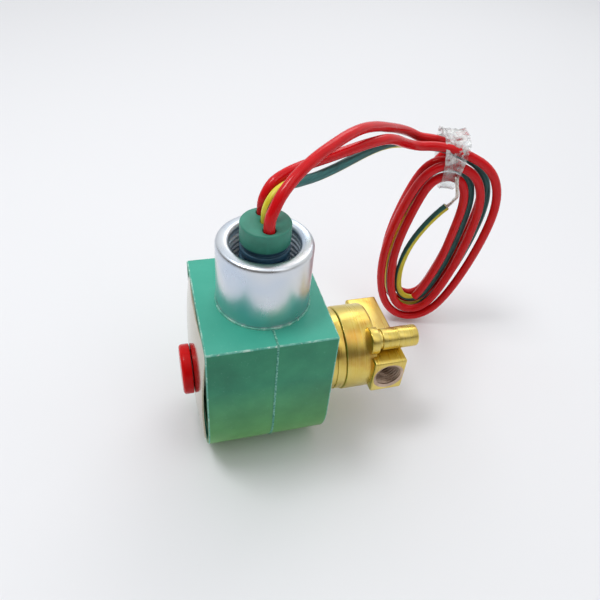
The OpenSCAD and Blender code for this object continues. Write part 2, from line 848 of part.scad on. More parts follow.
echo(length_near = run_length(run_near) + run_length(path_near));
echo(length_far = run_length(run_far) + run_length(path_far));
echo(length_ground = run_length(run_ground) + run_length(path_ground) + run_length(strand_path));
tie_strands = [for (p = concat(path_near, path_ground, path_far))
    if (p[0] > tie_from && p[0] < tie_from + tie_width && p[2] > 36) p[2]];
echo(tie_lowest = min(tie_strands), tie_highest = max(tie_strands));
echo(gap_near = least_gap(path_near, 12, red_dia), gap_far = least_gap(path_far, 12, red_dia));
echo(gap_ground = least_gap(path_ground, 12, ground_dia), gap_spring = least_gap(spring_path, 6, spring_wire));

valve_body();
end_stub();
bonnet();
body_gasket();
core_tube();
plugnut();
shading_ring();
spring_washer();
retaining_cap();
core();
core_disc();
core_spring();
coil_housing();
nameplate();
conduit_hub();
lead_boot();
bobbin();
winding();
flux_sleeve();
flux_plate_front();
flux_plate_rear();
lead_red_near();
lead_red_far();
lead_ground();
hank_red_near();
hank_red_far();
hank_ground();
ground_strands();
wire_tie();
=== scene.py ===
# %% [markdown]
# # A solenoid valve with its leads tied in a hank
# The imported CAD model is the fixed frame of this lesson. Each piece that shows is modelled again with finer
# edges, at the place that the frame gives, and rides on one of the frame's bodies. The hidden pieces keep
# their CAD mesh, apart from the spring, which is swept again.

# %% Load the frame
import json
import math

import bpy
import numpy as np
from mathutils import Matrix, Vector, noise

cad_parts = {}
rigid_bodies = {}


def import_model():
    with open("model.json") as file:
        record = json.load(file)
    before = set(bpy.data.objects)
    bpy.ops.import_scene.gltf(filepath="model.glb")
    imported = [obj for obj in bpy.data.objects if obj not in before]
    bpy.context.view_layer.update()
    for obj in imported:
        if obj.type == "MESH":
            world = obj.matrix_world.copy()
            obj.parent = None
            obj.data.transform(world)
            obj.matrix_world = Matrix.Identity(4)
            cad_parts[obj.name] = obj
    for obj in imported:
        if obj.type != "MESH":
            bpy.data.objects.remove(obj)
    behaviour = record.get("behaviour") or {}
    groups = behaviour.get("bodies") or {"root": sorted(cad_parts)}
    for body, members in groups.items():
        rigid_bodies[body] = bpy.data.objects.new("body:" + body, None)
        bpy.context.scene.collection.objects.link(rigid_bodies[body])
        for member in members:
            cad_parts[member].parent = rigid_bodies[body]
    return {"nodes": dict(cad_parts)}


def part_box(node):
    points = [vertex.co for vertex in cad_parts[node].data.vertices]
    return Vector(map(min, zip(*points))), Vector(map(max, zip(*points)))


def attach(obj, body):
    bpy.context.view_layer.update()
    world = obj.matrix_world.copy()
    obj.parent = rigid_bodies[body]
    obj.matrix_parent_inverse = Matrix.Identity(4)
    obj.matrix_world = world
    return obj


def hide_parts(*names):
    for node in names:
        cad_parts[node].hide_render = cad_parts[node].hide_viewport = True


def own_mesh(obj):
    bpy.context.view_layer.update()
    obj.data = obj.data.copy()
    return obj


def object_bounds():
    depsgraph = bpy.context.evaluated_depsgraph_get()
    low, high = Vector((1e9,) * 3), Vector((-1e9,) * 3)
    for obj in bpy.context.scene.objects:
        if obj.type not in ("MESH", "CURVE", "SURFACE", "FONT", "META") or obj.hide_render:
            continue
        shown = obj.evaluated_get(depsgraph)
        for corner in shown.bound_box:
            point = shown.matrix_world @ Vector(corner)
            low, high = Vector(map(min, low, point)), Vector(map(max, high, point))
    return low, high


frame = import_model()
nodes = frame["nodes"]
cad_box = [list(corner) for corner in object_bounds()]
MM = 0.001
print("CAD box in mm:", [[round(v / MM, 1) for v in corner] for corner in cad_box])

# %% [markdown]
# ## Where things are
# The drawing of the valve counts millimetres along the solenoid axis, from the
# coil's front face. The frame's origin is at the inlet port instead. One point
# read from the frame's boxes joins the two, so the numbers below can be the
# drawing's own. Where a piece starts and ends is read from the frame as well.

# %% The solenoid axis
def low(node):
    return Vector(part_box(node)[0])


def high(node):
    return Vector(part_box(node)[1])


def middle(node):
    return (low(node) + high(node)) / 2


tube_middle = middle("core_tube")
solenoid = Vector((low("coil_housing").x, tube_middle.y, tube_middle.z))


def at(x, y, z):
    """A place on the drawing, in millimetres, as a point of the frame."""
    return solenoid + Vector((x, y, z)) * MM


def span(node, axis):
    """Where a node starts and ends along x, y or z, in the drawing's millimetres."""
    k = "xyz".index(axis)
    return (low(node)[k] - solenoid[k]) / MM, (high(node)[k] - solenoid[k]) / MM


hub_x = (middle("conduit_hub").x - solenoid.x) / MM
print("hub stands", round(hub_x, 2), "mm behind the coil's front face")

# %% [markdown]
# ## Camera
# The view looks down on the valve from its cap end. A Track To constraint could
# aim the camera, but the photograph also has a roll. So two of the camera's own
# axes are written down, the third stands square to both, and one matrix holds them.

# %% Camera
eye = Vector((-72.394, -113.299, 148.245)) * MM
view_right = Vector((0.96423, -0.25425, 0.07493)).normalized()
view_down = Vector((-0.1179, -0.66458, -0.73785))
view_ahead = view_right.cross(view_down).normalized()
view_down = view_ahead.cross(view_right).normalized()
camera_data = bpy.data.cameras.new("camera")
camera_data.sensor_width = 36.0
camera_data.lens = 34.70
camera_data.clip_start = 0.01
camera = bpy.data.objects.new("camera", camera_data)
bpy.context.scene.collection.objects.link(camera)
turn = Matrix((view_right, -view_down, -view_ahead)).transposed()
camera.matrix_world = Matrix.Translation(eye) @ turn.to_4x4()
bpy.context.scene.camera = camera
print("camera stands", round(eye.length / MM), "mm from the inlet")

# %% [markdown]
# ## The leads' routes
# Three insulated leads leave the boot, rise in an arch and are tied in a hank.
# A cord could be drawn as a curve with a bevel, but the ground lead has a stripe
# that has to face the right way, so each lead is swept as a mesh tube whose UV map
# counts round the lead, with one half on the side that the stripe faces.
# The free stretch is a list of given points, the same as in the CAD source. The hank comes from stations
# round its first turn, each with its own step for every further turn, joined by a smooth curve.

# %% The free stretches, in the drawing's millimetres
red_dia = 3.3 * MM
ground_dia = 2.9 * MM
lead_pitch = 4.5
boot_top = (high("lead_boot").z - solenoid.z) / MM
socket_depth = 0.8
exit_run = 3.0
route_near = [
    (22, -3.8, 62.2), (24.6, -1.9, 66), (29.6, 1.8, 69.4), (35.5, 6.2, 71.4), (41.5, 10.6, 72.4),
    (48, 15.6, 72.8), (54.5, 21, 71.8), (61.5, 27, 69.2), (68, 32.8, 65.8), (74, 38.4, 62.4),
    (79.5, 42.6, 59.4), (84.2, 44.6, 56.9)]
route_far = [
    (21.9, 5.2, 62.1), (24.4, 6.8, 64.6), (29.5, 9.2, 66), (36, 12.4, 66.2), (43, 15.8, 66),
    (50, 19, 66), (57.5, 22.4, 66), (65, 26, 65.2), (70.6, 29.6, 62.8), (75.4, 33.2, 59.6),
    (79.6, 36.2, 57.2)]
route_ground = [
    (21.9, 0.7, 62), (24, 2.1, 63.9), (27.4, 4.3, 64.6), (32.4, 7.5, 63.6), (38.5, 11.3, 62.6),
    (45.5, 15.8, 62.2), (52.5, 20.6, 62), (59.5, 25.6, 61.6), (66.5, 31, 60.2), (72.8, 35.8, 58.2),
    (78, 39.2, 56.2), (82.6, 40.9, 54.7)]
print("free points:", len(route_near), len(route_far), len(route_ground))

# %% The hank's stations: across and up, then the step for each further turn
hank_at = Vector((93.6, 39, 0))
hank_turn = math.radians(-15)
hank_layer = 4
stations = np.array([
    (-5.5, 54, 1.7, -4.6), (8.5, 54.5, -0.6, -4.4), (20.5, 49.5, -4.2, -4.2), (26.6, 37.5, -6, -2.4),
    (27, 23.5, -6.2, -0.6), (24.2, 5.5, -5, 0.6), (19.2, -14, -4.4, 1.9), (11.5, -27.2, -2, 4.2),
    (-2, -29.8, 1, 4.7), (-14, -18.5, 3.9, 2.2), (-18.4, 7.5, 4.3, 0.2), (-14, 33.5, 4.3, -1.7)])
station_count = len(stations)
leftmost, rightmost = stations[:, 0].min(), stations[:, 0].max()


def station(j, inset):
    """A station's place after its turns, moved inwards by the lead's inset at its left and right."""
    place = stations[j % station_count]
    share = (place[0] - leftmost) / (rightmost - leftmost)
    n = j / station_count + inset[0] + (inset[1] - inset[0]) * share
    return place[:2] + place[2:] * n


print("hank stations:", station_count)

# %% A lead's place in the hank
# A lead comes in lifted, may change its layer, and leaves its turn near its end.
entry_turn = 0.14
over_start, over_turn = 1.78, 0.14
leads = {
    "near": dict(side=-1, route=route_near, turns=2.1, layer=1, inset=(0.45, 0.6), lift=6.5,
                 leave_at=1.97, across=3, over=1.06, up=15),
    "ground": dict(side=0, route=route_ground, turns=1.95, layer=0, inset=(0.8, 0.45), lift=6,
                   leave_at=1.72, across=9.5, over=0, up=-4),
    "far": dict(side=1, route=route_far, turns=2.56, layer=-1, inset=(0, 0), lift=5.5,
                leave_at=2.05, across=-3, over=0, up=0)}


def ease(x):
    v = min(1, max(0, x))
    return v * v * (3 - 2 * v)


def hank_point(t, lead):
    """The place after t turns: across the hank, through its layers, and up."""
    j = math.floor(t * station_count + 1e-6)
    u = t * station_count - j
    a, b, c, d = (station(j + k, lead["inset"]) for k in (-1, 0, 1, 2))
    p = ((1 - u) ** 3 * a + (3 * u ** 3 - 6 * u ** 2 + 4) * b
         + (-3 * u ** 3 + 3 * u ** 2 + 3 * u + 1) * c + u ** 3 * d) / 6
    leave = (max(0, t - lead["leave_at"]) / (lead["turns"] - lead["leave_at"])) ** 2
    layer = lead["layer"] + lead["over"] * ease((t - over_start) / over_turn)
    lifted = lead["lift"] * max(0, 1 - t / entry_turn) ** 2
    return Vector((p[0] + lead["across"] * leave, layer * hank_layer, p[1] + lifted + lead["up"] * leave))


def to_valve(p):
    c, s = math.cos(hank_turn), math.sin(hank_turn)
    return hank_at + Vector((p.x * c - p.y * s, p.x * s + p.y * c, p.z))


print("turns:", {name: lead["turns"] for name, lead in leads.items()})

# %% [markdown]
# ## One line for each lead
# A smooth curve runs from the socket in the boot through the free points and on along the hank. Points that
# are given one by one leave small kinks, above all where a lead enters the tape. Averaging each point with
# its neighbours a few times takes them out, as the lead's own spring does.

# %% Smooth lines
rings_per_turn = 72
steps_per_point = 6
entry_reach = 4
overall_passes = 2
entry_before, entry_after, entry_passes = 24, 8, 10


def through(points, steps):
    """Points on a smooth curve through the given ones."""
    line = []
    for i in range(len(points) - 1):
        a, b = points[max(i - 1, 0)], points[i]
        c, d = points[i + 1], points[min(i + 2, len(points) - 1)]
        for k in range(steps):
            u = k / steps
            line.append(0.5 * (2 * b + (c - a) * u + (2 * a - 5 * b + 4 * c - d) * u ** 2
                               + (-a + 3 * b - 3 * c + d) * u ** 3))
    line.append(points[-1])
    return line


def relax(line, first, last, passes):
    """Rounds the bends between two points of a line."""
    for _ in range(passes):
        line[first:last] = [(line[i - 1] + 2 * line[i] + line[i + 1]) / 4 for i in range(first, last)]


def line_length(line):
    return sum((b - a).length for a, b in zip(line, line[1:]))


# %% Lines of the three leads
def lead_line(lead):
    rings = round(rings_per_turn * lead["turns"])
    hank = [to_valve(hank_point(i * lead["turns"] / rings, lead)) for i in range(rings + 1)]
    way = (hank[2] - hank[0]).normalized()
    foot = Vector((hub_x, lead["side"] * lead_pitch, boot_top - socket_depth))
    start = Vector((hub_x, lead["side"] * lead_pitch, boot_top + exit_run))
    free = [foot, start] + [Vector(p) for p in lead["route"]]
    free += [hank[0] - entry_reach * way, hank[0], hank[3]]
    line = through(free, steps_per_point)[:-steps_per_point] + hank[1:]
    entry = len(line) - rings
    relax(line, 1, len(line) - 1, overall_passes)
    relax(line, entry - entry_before, entry + entry_after, entry_passes)
    return [at(*p) for p in line]


for name, lead in leads.items():
    lead["line"] = lead_line(lead)
    print(name, "lead:", round(line_length(lead["line"]) / MM), "mm,", len(lead["line"]), "rings")

# %% [markdown]
# ## Picking one piece
# An operator acts on all that is selected, and a loaded frame is selected all
# over. So everything is let go before a piece is made, and one piece is picked
# before an operator works on it.

# %% Picking and smoothing
def pick_none():
    if bpy.context.object and bpy.context.object.mode != "OBJECT":
        bpy.ops.object.mode_set(mode="OBJECT")
    bpy.ops.object.select_all(action="DESELECT")


def pick(piece):
    pick_none()
    piece.select_set(True)
    bpy.context.view_layer.objects.active = piece


def smooth_by_angle(piece, degrees):
    pick(piece)
    bpy.ops.object.shade_smooth_by_angle(angle=math.radians(degrees))
    pick_none()


# %% [markdown]
# ## Sweeping a tube
# A ring of points stands square on the line at every step. Each ring is turned
# by the facing direction, so that no twist builds up and a stripe can be painted
# by the UV map's second number: one half is the facing side.

# %% Sweep
uv_length = 10 * MM
tube_smoothing = 40


def sweep(name, line, radius, sides, facing):
    """A closed tube along a line. facing gives the direction of the UV map's middle
    at a share of the line."""
    verts, faces, uvs = [], [], []
    total = line_length(line)
    run = 0.0
    count = len(line)
    for i, place in enumerate(line):
        if i:
            run += (place - line[i - 1]).length
        along = (line[min(i + 1, count - 1)] - line[max(i - 1, 0)]).normalized()
        front = facing(run / total)
        front = (front - along * front.dot(along)).normalized()
        side = along.cross(front)
        for k in range(sides + 1):
            turn_k = 2 * math.pi * (k / sides - 0.5)
            if k < sides:
                verts.append(place + radius * (math.cos(turn_k) * front + math.sin(turn_k) * side))
            uvs.append((run / uv_length, k / sides))
    loops = []
    for i in range(count - 1):
        for k in range(sides):
            n = (k + 1) % sides
            faces.append((i * sides + k, i * sides + n, (i + 1) * sides + n, (i + 1) * sides + k))
            row, above = i * (sides + 1), (i + 1) * (sides + 1)
            loops += [row + k, row + k + 1, above + k + 1, above + k]
    faces.append(tuple(reversed(range(sides))))
    loops += list(reversed(range(sides)))
    faces.append(tuple((count - 1) * sides + k for k in range(sides)))
    loops += [(count - 1) * (sides + 1) + k for k in range(sides)]
    mesh = bpy.data.meshes.new(name)
    mesh.from_pydata(verts, [], faces)
    layer = mesh.uv_layers.new(name="around")
    for loop, source in zip(layer.data, loops):
        loop.uv = uvs[source]
    tube = bpy.data.objects.new(name, mesh)
    bpy.context.scene.collection.objects.link(tube)
    smooth_by_angle(tube, tube_smoothing)
    return tube


# %% [markdown]
# ## Red leads and the striped ground lead
# The ground lead's stripe wanders round the lead. One fixed direction would show
# it at the wrong places, so marks along the lead say which way the stripe faces,
# in the picture's own directions: right, up and towards the eye.

# %% The stripe's side along the ground lead
stripe_marks = [
    (0.00, (-0.6, 0.4, 0.7)), (0.03, (-0.7, 0.4, 0.6)), (0.07, (-0.6, -0.6, 0.1)), (0.12, (-0.2, -0.8, -0.6)),
    (0.20, (0.2, -0.6, -0.8)), (0.25, (0.0, 0.8, -0.5)), (0.30, (0.4, 0.9, 0.0)), (0.35, (0.9, 0.3, -0.4)),
    (0.42, (0.7, -0.3, -0.7)), (0.48, (-0.2, 0.8, 0.4)), (0.54, (-0.7, 0.5, 0.5)), (0.62, (0.7, 0.2, 0.6)),
    (0.70, (0.2, 0.4, -0.9)), (0.78, (0.6, 0.2, -0.8)), (0.85, (-0.2, 0.8, 0.4)), (0.90, (0.5, -0.4, 0.7)),
    (0.95, (0.8, -0.5, 0.4)), (1.00, (0.8, -0.6, 0.3))]


def stripe_facing(share):
    for (a, first), (b, second) in zip(stripe_marks, stripe_marks[1:]):
        if share <= b:
            break
    right, up, near = Vector(first).lerp(Vector(second), (share - a) / (b - a))
    return (right * view_right - up * view_down - near * view_ahead).normalized()


def plain_facing(share):
    return Vector((0.3, -0.2, 0.9))


# %% Sweep the leads
cord_sides = 16
red_near = sweep("cord_red_near", leads["near"]["line"], red_dia / 2, cord_sides, plain_facing)
red_far = sweep("cord_red_far", leads["far"]["line"], red_dia / 2, cord_sides, plain_facing)
ground = sweep("cord_ground", leads["ground"]["line"], ground_dia / 2, cord_sides, stripe_facing)
print("swept", [len(c.data.polygons) for c in (red_near, red_far, ground)], "faces")

# %% [markdown]
# ## Bared strands
# The ground lead's end is stripped and its tinned strands are twisted together.
# A single tube with a twisted bump would look round, so each strand is swept
# along its own helix round the bundle's line. The last strand is the straight
# middle of the bundle, and the others fray a little at the end.

# %% The bundle's line
bared_root, bared_straight = 1.5, 2
strand_steps, step_back = 8, 0.005
ground_turns = leads["ground"]["turns"]
ground_before = hank_point(ground_turns - step_back, leads["ground"])
ground_last = hank_point(ground_turns, leads["ground"])
ground_way = (ground_last - ground_before).normalized()
strand_bend = ground_last + bared_straight * ground_way
strand_marks = [ground_last - bared_root * ground_way, ground_last, strand_bend]
strand_marks += [strand_bend + Vector(p) for p in (
    (0, -2, 2.8), (-0.3, -4.8, 5.4), (-1.1, -7.2, 8.2), (-2.1, -7.5, 11.8), (-3.1, -7.5, 15.4))]
strand_line = [at(*to_valve(p)) for p in through(strand_marks, strand_steps)]
print("bared end:", round(line_length(strand_line) / MM, 1), "mm long")

# %% Twisted strands
strand_count, strand_sides = 7, 8
strand_dia = 0.42 * MM
strand_spread = 0.40 * MM
strand_twists = 3.5
fray, fray_from = 0.25, 0.85
last_place = len(strand_line) - 1
strand_tubes = []
for k in range(strand_count):
    helix = []
    for i, place in enumerate(strand_line):
        share = i / last_place
        along = (strand_line[min(i + 1, last_place)] - strand_line[max(i - 1, 0)]).normalized()
        side = along.cross(view_ahead).normalized()
        out = along.cross(side)
        angle = 2 * math.pi * (k / (strand_count - 1) + strand_twists * share)
        reach = strand_spread * (1 + fray * max(0, share - fray_from) / (1 - fray_from))
        if k == strand_count - 1:
            reach = 0
        helix.append(place + reach * (math.cos(angle) * side + math.sin(angle) * out))
    strand_tubes.append(sweep("strand", helix, strand_dia / 2, strand_sides, plain_facing))
pick_none()
for tube in strand_tubes:
    tube.select_set(True)
bpy.context.view_layer.objects.active = strand_tubes[0]
bpy.ops.object.join()
strands = bpy.context.object
strands.name = "strands"
pick_none()
print("strands:", strand_count, "wires,", len(strands.data.polygons), "faces")

# %% [markdown]
# ## Clear tape
# A strip of clear tape is wound round the hank's shoulder and crumpled. Cloth
# simulation could crumple it, but a short stiff strip creases rather than
# drapes. So a grid is wrapped round the bundle as an open band, and its points
# are moved by two cell patterns, which leaves flat facets between sharp creases.

# %% The tape's places
tie_from, tie_width = 0.5, 7.5
tie_near, tie_far = -hank_layer, (1 + leads["near"]["over"]) * hank_layer
tie_foot, tie_head = 40.6, 56.2
tie_margin = 1.9
section_power = 0.62
coarse_around, coarse_along, coarse_crease = 6, 5.2, 0.60
fine_around, fine_along, fine_crease = 13, 9, 0.30
mean_crease, edge_flare = 0.35, 0.5
foot_crumple, head_crumple = 0.4, 1.2
crumple_from, crumple_over = -0.4, 0.9
foot_share, head_share = 0.62, 1.22
ragged, ragged_cells, ragged_seed = 1.2, 3, 7.0


def tape_place(around, along):
    """A point of the band: a rounded section round the bundle, creased by two cell patterns."""
    angle = 2 * math.pi * around
    half_y = (tie_far - tie_near) / 2 + tie_margin
    half_z = (tie_head - tie_foot) / 2 + tie_margin
    y = math.copysign(abs(math.cos(angle)) ** section_power, math.cos(angle))
    z = math.copysign(abs(math.sin(angle)) ** section_power, math.sin(angle))
    coarse = Vector((coarse_around * y, coarse_around * z, coarse_along * along))
    fine = Vector((fine_around * y, fine_around * z, fine_along * along))
    crease = coarse_crease * noise.voronoi(coarse)[0][0] + fine_crease * noise.voronoi(fine)[0][0]
    flare = edge_flare * abs(2 * along - 1) ** 3
    crumpled = foot_crumple + (head_crumple - foot_crumple) * ease((z - crumple_from) / crumple_over)
    grow = crumpled * (crease + flare - mean_crease)
    width = tie_width * (foot_share + (head_share - foot_share) * (1 + z) / 2)
    width += ragged * noise.noise(Vector((ragged_cells * y, ragged_cells * z, ragged_seed)))
    return at(*to_valve(Vector((
        tie_from + tie_width / 2 + width * (along - 0.5),
        (tie_near + tie_far) / 2 + (half_y + grow) * y,
        (tie_foot + tie_head) / 2 + (half_z + grow) * z))))


# %% Tape band
around_cells, along_cells = 84, 14
tape_thick = 0.18 * MM
tape_smoothing = 18
pick_none()
bpy.ops.mesh.primitive_grid_add(x_subdivisions=around_cells, y_subdivisions=along_cells, size=2)
tape = bpy.context.object
tape.name = "tape"
for v in tape.data.vertices:
    v.co = tape_place((v.co.x + 1) / 2, (v.co.y + 1) / 2)
bpy.ops.object.mode_set(mode="EDIT")
bpy.ops.mesh.select_all(action="SELECT")
bpy.ops.mesh.remove_doubles(threshold=0.01 * MM)
bpy.ops.mesh.normals_make_consistent(inside=False)
bpy.ops.object.mode_set(mode="OBJECT")
wall = tape.modifiers.new("wall", "SOLIDIFY")
wall.thickness = tape_thick
wall.offset = 1
bpy.ops.object.modifier_apply(modifier="wall")
smooth_by_angle(tape, tape_smoothing)
print("tape band:", len(tape.data.polygons), "faces")

# %% [markdown]
# ## Turning on a lathe
# Most of the valve is turned: the hub, the cap, the brass and the boot. Stacked
# cylinders would leave hard steps, so an outline is drawn once, its corners are
# rounded, and it is spun round its axis, as a lathe does it.

# %% Outline with rounded corners
def rounded(corners, steps=5):
    """An outline with arcs for corners. A corner is (radius, height, rounding), and 0 keeps it sharp."""
    line = []
    points = [Vector(corner[:2]) for corner in corners]
    for i, (p, corner) in enumerate(zip(points, corners)):
        rounding = corner[2]
        if not rounding:
            line.append(p)
            continue
        before = (points[i - 1] - p).normalized()
        after = (points[(i + 1) % len(points)] - p).normalized()
        half = before.angle(after) / 2
        reach = rounding / math.tan(half)
        centre = p + (before + after).normalized() * rounding / math.sin(half)
        first, last = p + before * reach - centre, p + after * reach - centre
        for k in range(steps + 1):
            line.append(centre + first.slerp(last, k / steps, first).normalized() * rounding)
    return line


def wall_points(radius, start, end, step):
    """Points down a wall, close enough for a thread to be cut into it."""
    count = max(2, round(abs(end - start) / step))
    return [(radius, start + (end - start) * i / count) for i in range(count + 1)]


# %% Spin
merge_within = 0.002 * MM
lathe_smoothing = 32
along_x = (1, 0, 0)
along_y = (0, 1, 0)
along_z = (0, 0, 1)
axis_foot = at(0, 0, 0)
hub_foot_point = at(hub_x, 0, 0)


def out_from(axis):
    """A direction square to the axis, from which angles count."""
    return Vector(along_z) if abs(axis[0]) > 0.5 else Vector(along_x)


def lathe(name, outline, centre, axis, steps=96, closed=True, turned=0.0):
    """Spins an outline of (radius, height) points, in millimetres, round an axis through centre."""
    pick_none()
    count = len(outline)
    out = Matrix.Rotation(turned, 3, Vector(axis)) @ out_from(axis)
    bpy.ops.mesh.primitive_circle_add(vertices=count, radius=MM, fill_type="NOTHING")
    piece = bpy.context.object
    piece.name = name
    for v, (r, h) in zip(piece.data.vertices, outline):
        v.co = centre + out * r * MM + Vector(axis) * h * MM
    bpy.ops.object.mode_set(mode="EDIT")
    bpy.ops.mesh.select_mode(type="EDGE")
    if not closed:
        bpy.ops.mesh.select_all(action="DESELECT")
        bpy.ops.object.mode_set(mode="OBJECT")
        for edge in piece.data.edges:
            edge.select = set(edge.vertices) == {0, count - 1}
        bpy.ops.object.mode_set(mode="EDIT")
        bpy.ops.mesh.delete(type="EDGE")
    bpy.ops.mesh.select_all(action="SELECT")
    bpy.ops.mesh.spin(steps=steps, angle=2 * math.pi, center=centre, axis=axis)
    bpy.ops.mesh.select_all(action="SELECT")
    bpy.ops.mesh.remove_doubles(threshold=merge_within)
    bpy.ops.mesh.dissolve_degenerate(threshold=merge_within)
    bpy.ops.mesh.select_all(action="SELECT")
    bpy.ops.mesh.normals_make_consistent(inside=False)
    bpy.ops.object.mode_set(mode="OBJECT")
    smooth_by_angle(piece, lathe_smoothing)
    return piece


# %% [markdown]
# ## Cutting a thread
# A screw thread is a ridge that climbs one pitch in each turn. Modelling the
# helix as its own tube would leave it loose on the wall, so the wall's own
# points are moved in or out by a wave that climbs with the angle round the axis.

# %% Thread
on_wall = 0.02
flank_slope, root_flat = 1.6, 0.3


def cut_thread(piece, centre, axis, radius, start, end, pitch, depth):
    """Moves the points of a round wall outwards by up to depth, between two heights."""
    along = Vector(axis)
    out = out_from(axis)
    side = along.cross(out)
    moved = 0
    for v in piece.data.vertices:
        arm = (v.co - centre) / MM
        h = arm.dot(along)
        flat = arm - along * h
        if abs(flat.length - radius) > on_wall or not start <= h <= end:
            continue
        angle = math.atan2(flat.dot(side), flat.dot(out)) / (2 * math.pi)
        phase = (h / pitch - angle) % 1.0
        wave = min(1.0, max(0.0, flank_slope * (1 - abs(2 * phase - 1)) - root_flat))
        fade = min(1.0, (h - start) / pitch, (end - h) / pitch)
        v.co += flat.normalized() * depth * wave * max(0.0, fade) * MM
        moved += 1
    return moved


# %% [markdown]
# ## Joining, cutting and easing edges
# A hole or a boss is made with the Boolean modifier, applied at once. Its Exact
# solver can change from run to run and leave open edges where edges meet edges. The
# Manifold solver keeps each piece one closed mesh. A cutter reaches past the face
# that it cuts, and where it shares an axis with the piece, one of the two is turned
# a little. It is deleted afterwards. A Bevel modifier eases sharp edges.

# %% Boolean and bevel helpers
past = 1
fit_gap = 0.05
off_turn = math.radians(1.25)


def combine(piece, other, operation):
    pick(piece)
    change = piece.modifiers.new(operation.lower(), "BOOLEAN")
    change.operation = operation
    change.solver = "MANIFOLD"
    change.object = other
    bpy.ops.object.modifier_apply(modifier=change.name)
    bpy.data.objects.remove(other)
    pick_none()


def ease_edges(piece, width, segments=2, degrees=35):
    """Rounds the sharp edges a little, as every moulded or machined edge is."""
    pick(piece)
    edge = piece.modifiers.new("edge", "BEVEL")
    edge.width = width * MM
    edge.segments = segments
    edge.limit_method = "ANGLE"
    edge.angle_limit = math.radians(degrees)
    edge.use_clamp_overlap = True
    bpy.ops.object.modifier_apply(modifier="edge")
    pick_none()


# %% [markdown]
# ## The coil's outline
# Coil, front lip and nameplate share one outline: a flat top, flat sides and a
# half-round bottom. A cube and a cylinder could be joined, but one outline that
# is extruded leaves no seam between the flat side and the round bottom.

# %% U-shaped block
coil_width, coil_length = 43.0, span("coil_housing", "x")[1]
coil_top = 28.4
round_centre = -6.9
bottom_steps = 40


def u_outline(inset):
    half = coil_width / 2 - inset
    line = [(half, coil_top - inset), (-half, coil_top - inset)]
    for k in range(bottom_steps + 1):
        angle = math.pi + math.pi * k / bottom_steps
        line.append((half * math.cos(angle), round_centre + half * math.sin(angle)))
    return line


def u_block(name, inset, start, length):
    """The outline as a face at start, extruded along the solenoid axis."""
    outline = u_outline(inset)
    pick_none()
    bpy.ops.mesh.primitive_circle_add(vertices=len(outline), radius=MM, fill_type="NGON")
    block = bpy.context.object
    block.name = name
    for v, (y, z) in zip(block.data.vertices, outline):
        v.co = at(start, y, z)
    bpy.ops.object.mode_set(mode="EDIT")
    bpy.ops.mesh.select_all(action="SELECT")
    bpy.ops.mesh.extrude_region_move(TRANSFORM_OT_translate={"value": (length * MM, 0, 0)})
    bpy.ops.mesh.select_all(action="SELECT")
    bpy.ops.mesh.normals_make_consistent(inside=False)
    bpy.ops.object.mode_set(mode="OBJECT")
    return block


# %% [markdown]
# ## Moulded coil
# The coil is cast in green epoxy. The front face is inset and pushed in, which
# leaves the lip. A thin strap makes the mould's seam, a low ring makes the flash
# at the hub, and a plug cuts the room for the wound parts.

# %% Block with its lip
lip_width, lip_depth = 1.6, 1.2
coil_edge = 0.45
square_on = 0.95
coil = u_block("coil", 0, 0, coil_length)
bpy.context.view_layer.objects.active = coil
bpy.ops.object.mode_set(mode="EDIT")
bpy.ops.mesh.select_mode(type="FACE")
bpy.ops.mesh.select_all(action="DESELECT")
bpy.ops.object.mode_set(mode="OBJECT")
for face in coil.data.polygons:
    face.select = face.normal.x < -square_on
bpy.ops.object.mode_set(mode="EDIT")
bpy.ops.mesh.inset(thickness=lip_width * MM)
bpy.ops.mesh.extrude_region_move(TRANSFORM_OT_translate={"value": (lip_depth * MM, 0, 0)})
bpy.ops.object.mode_set(mode="OBJECT")
ease_edges(coil, coil_edge, segments=3)
print("coil block:", len(coil.data.polygons), "faces")

# %% Seam and flash
hub_dia = 28.6
hub_r = hub_dia / 2
seam_width, seam_rise, seam_edge = 0.7, 0.18, 0.14
flash_width, flash_height, flash_taper, flash_root = 0.6, 0.5, 0.1, 1
strap = u_block("strap", -seam_rise, hub_x - seam_width / 2, seam_width)
ease_edges(strap, seam_edge)
combine(coil, strap, "UNION")
flash_r = hub_r + flash_width
flash = lathe("flash", rounded([
    (hub_r - flash_root, coil_top - flash_root, 0), (flash_r, coil_top - flash_root, 0),
    (flash_r - flash_taper, coil_top + flash_height, 0.25),
    (hub_r - flash_root, coil_top + flash_height, 0)]), hub_foot_point, along_z)
combine(coil, flash, "UNION")
print("coil with seam and flash:", len(coil.data.polygons), "faces")

# %% Room for the wound parts and the hub
coil_bore = 6.65
wound_from, wound_to, wound_r = 3.6, 36.9, 17.6
hub_foot, hub_rim = span("conduit_hub", "z")
coil_smoothing = 32
plug = lathe("plug", [
    (0, -past), (coil_bore, -past), (coil_bore, wound_from), (wound_r, wound_from), (wound_r, wound_to),
    (coil_bore, wound_to), (coil_bore, coil_length + past), (0, coil_length + past)],
    axis_foot, along_x, closed=False)
combine(coil, plug, "DIFFERENCE")
seat = lathe("seat", [
    (0, hub_foot), (hub_r + fit_gap, hub_foot), (hub_r + fit_gap, coil_top + 2 * past),
    (0, coil_top + 2 * past)], hub_foot_point, along_z, closed=False, turned=off_turn)
combine(coil, seat, "DIFFERENCE")
smooth_by_angle(coil, coil_smoothing)
print("coil:", len(coil.data.polygons), "faces")
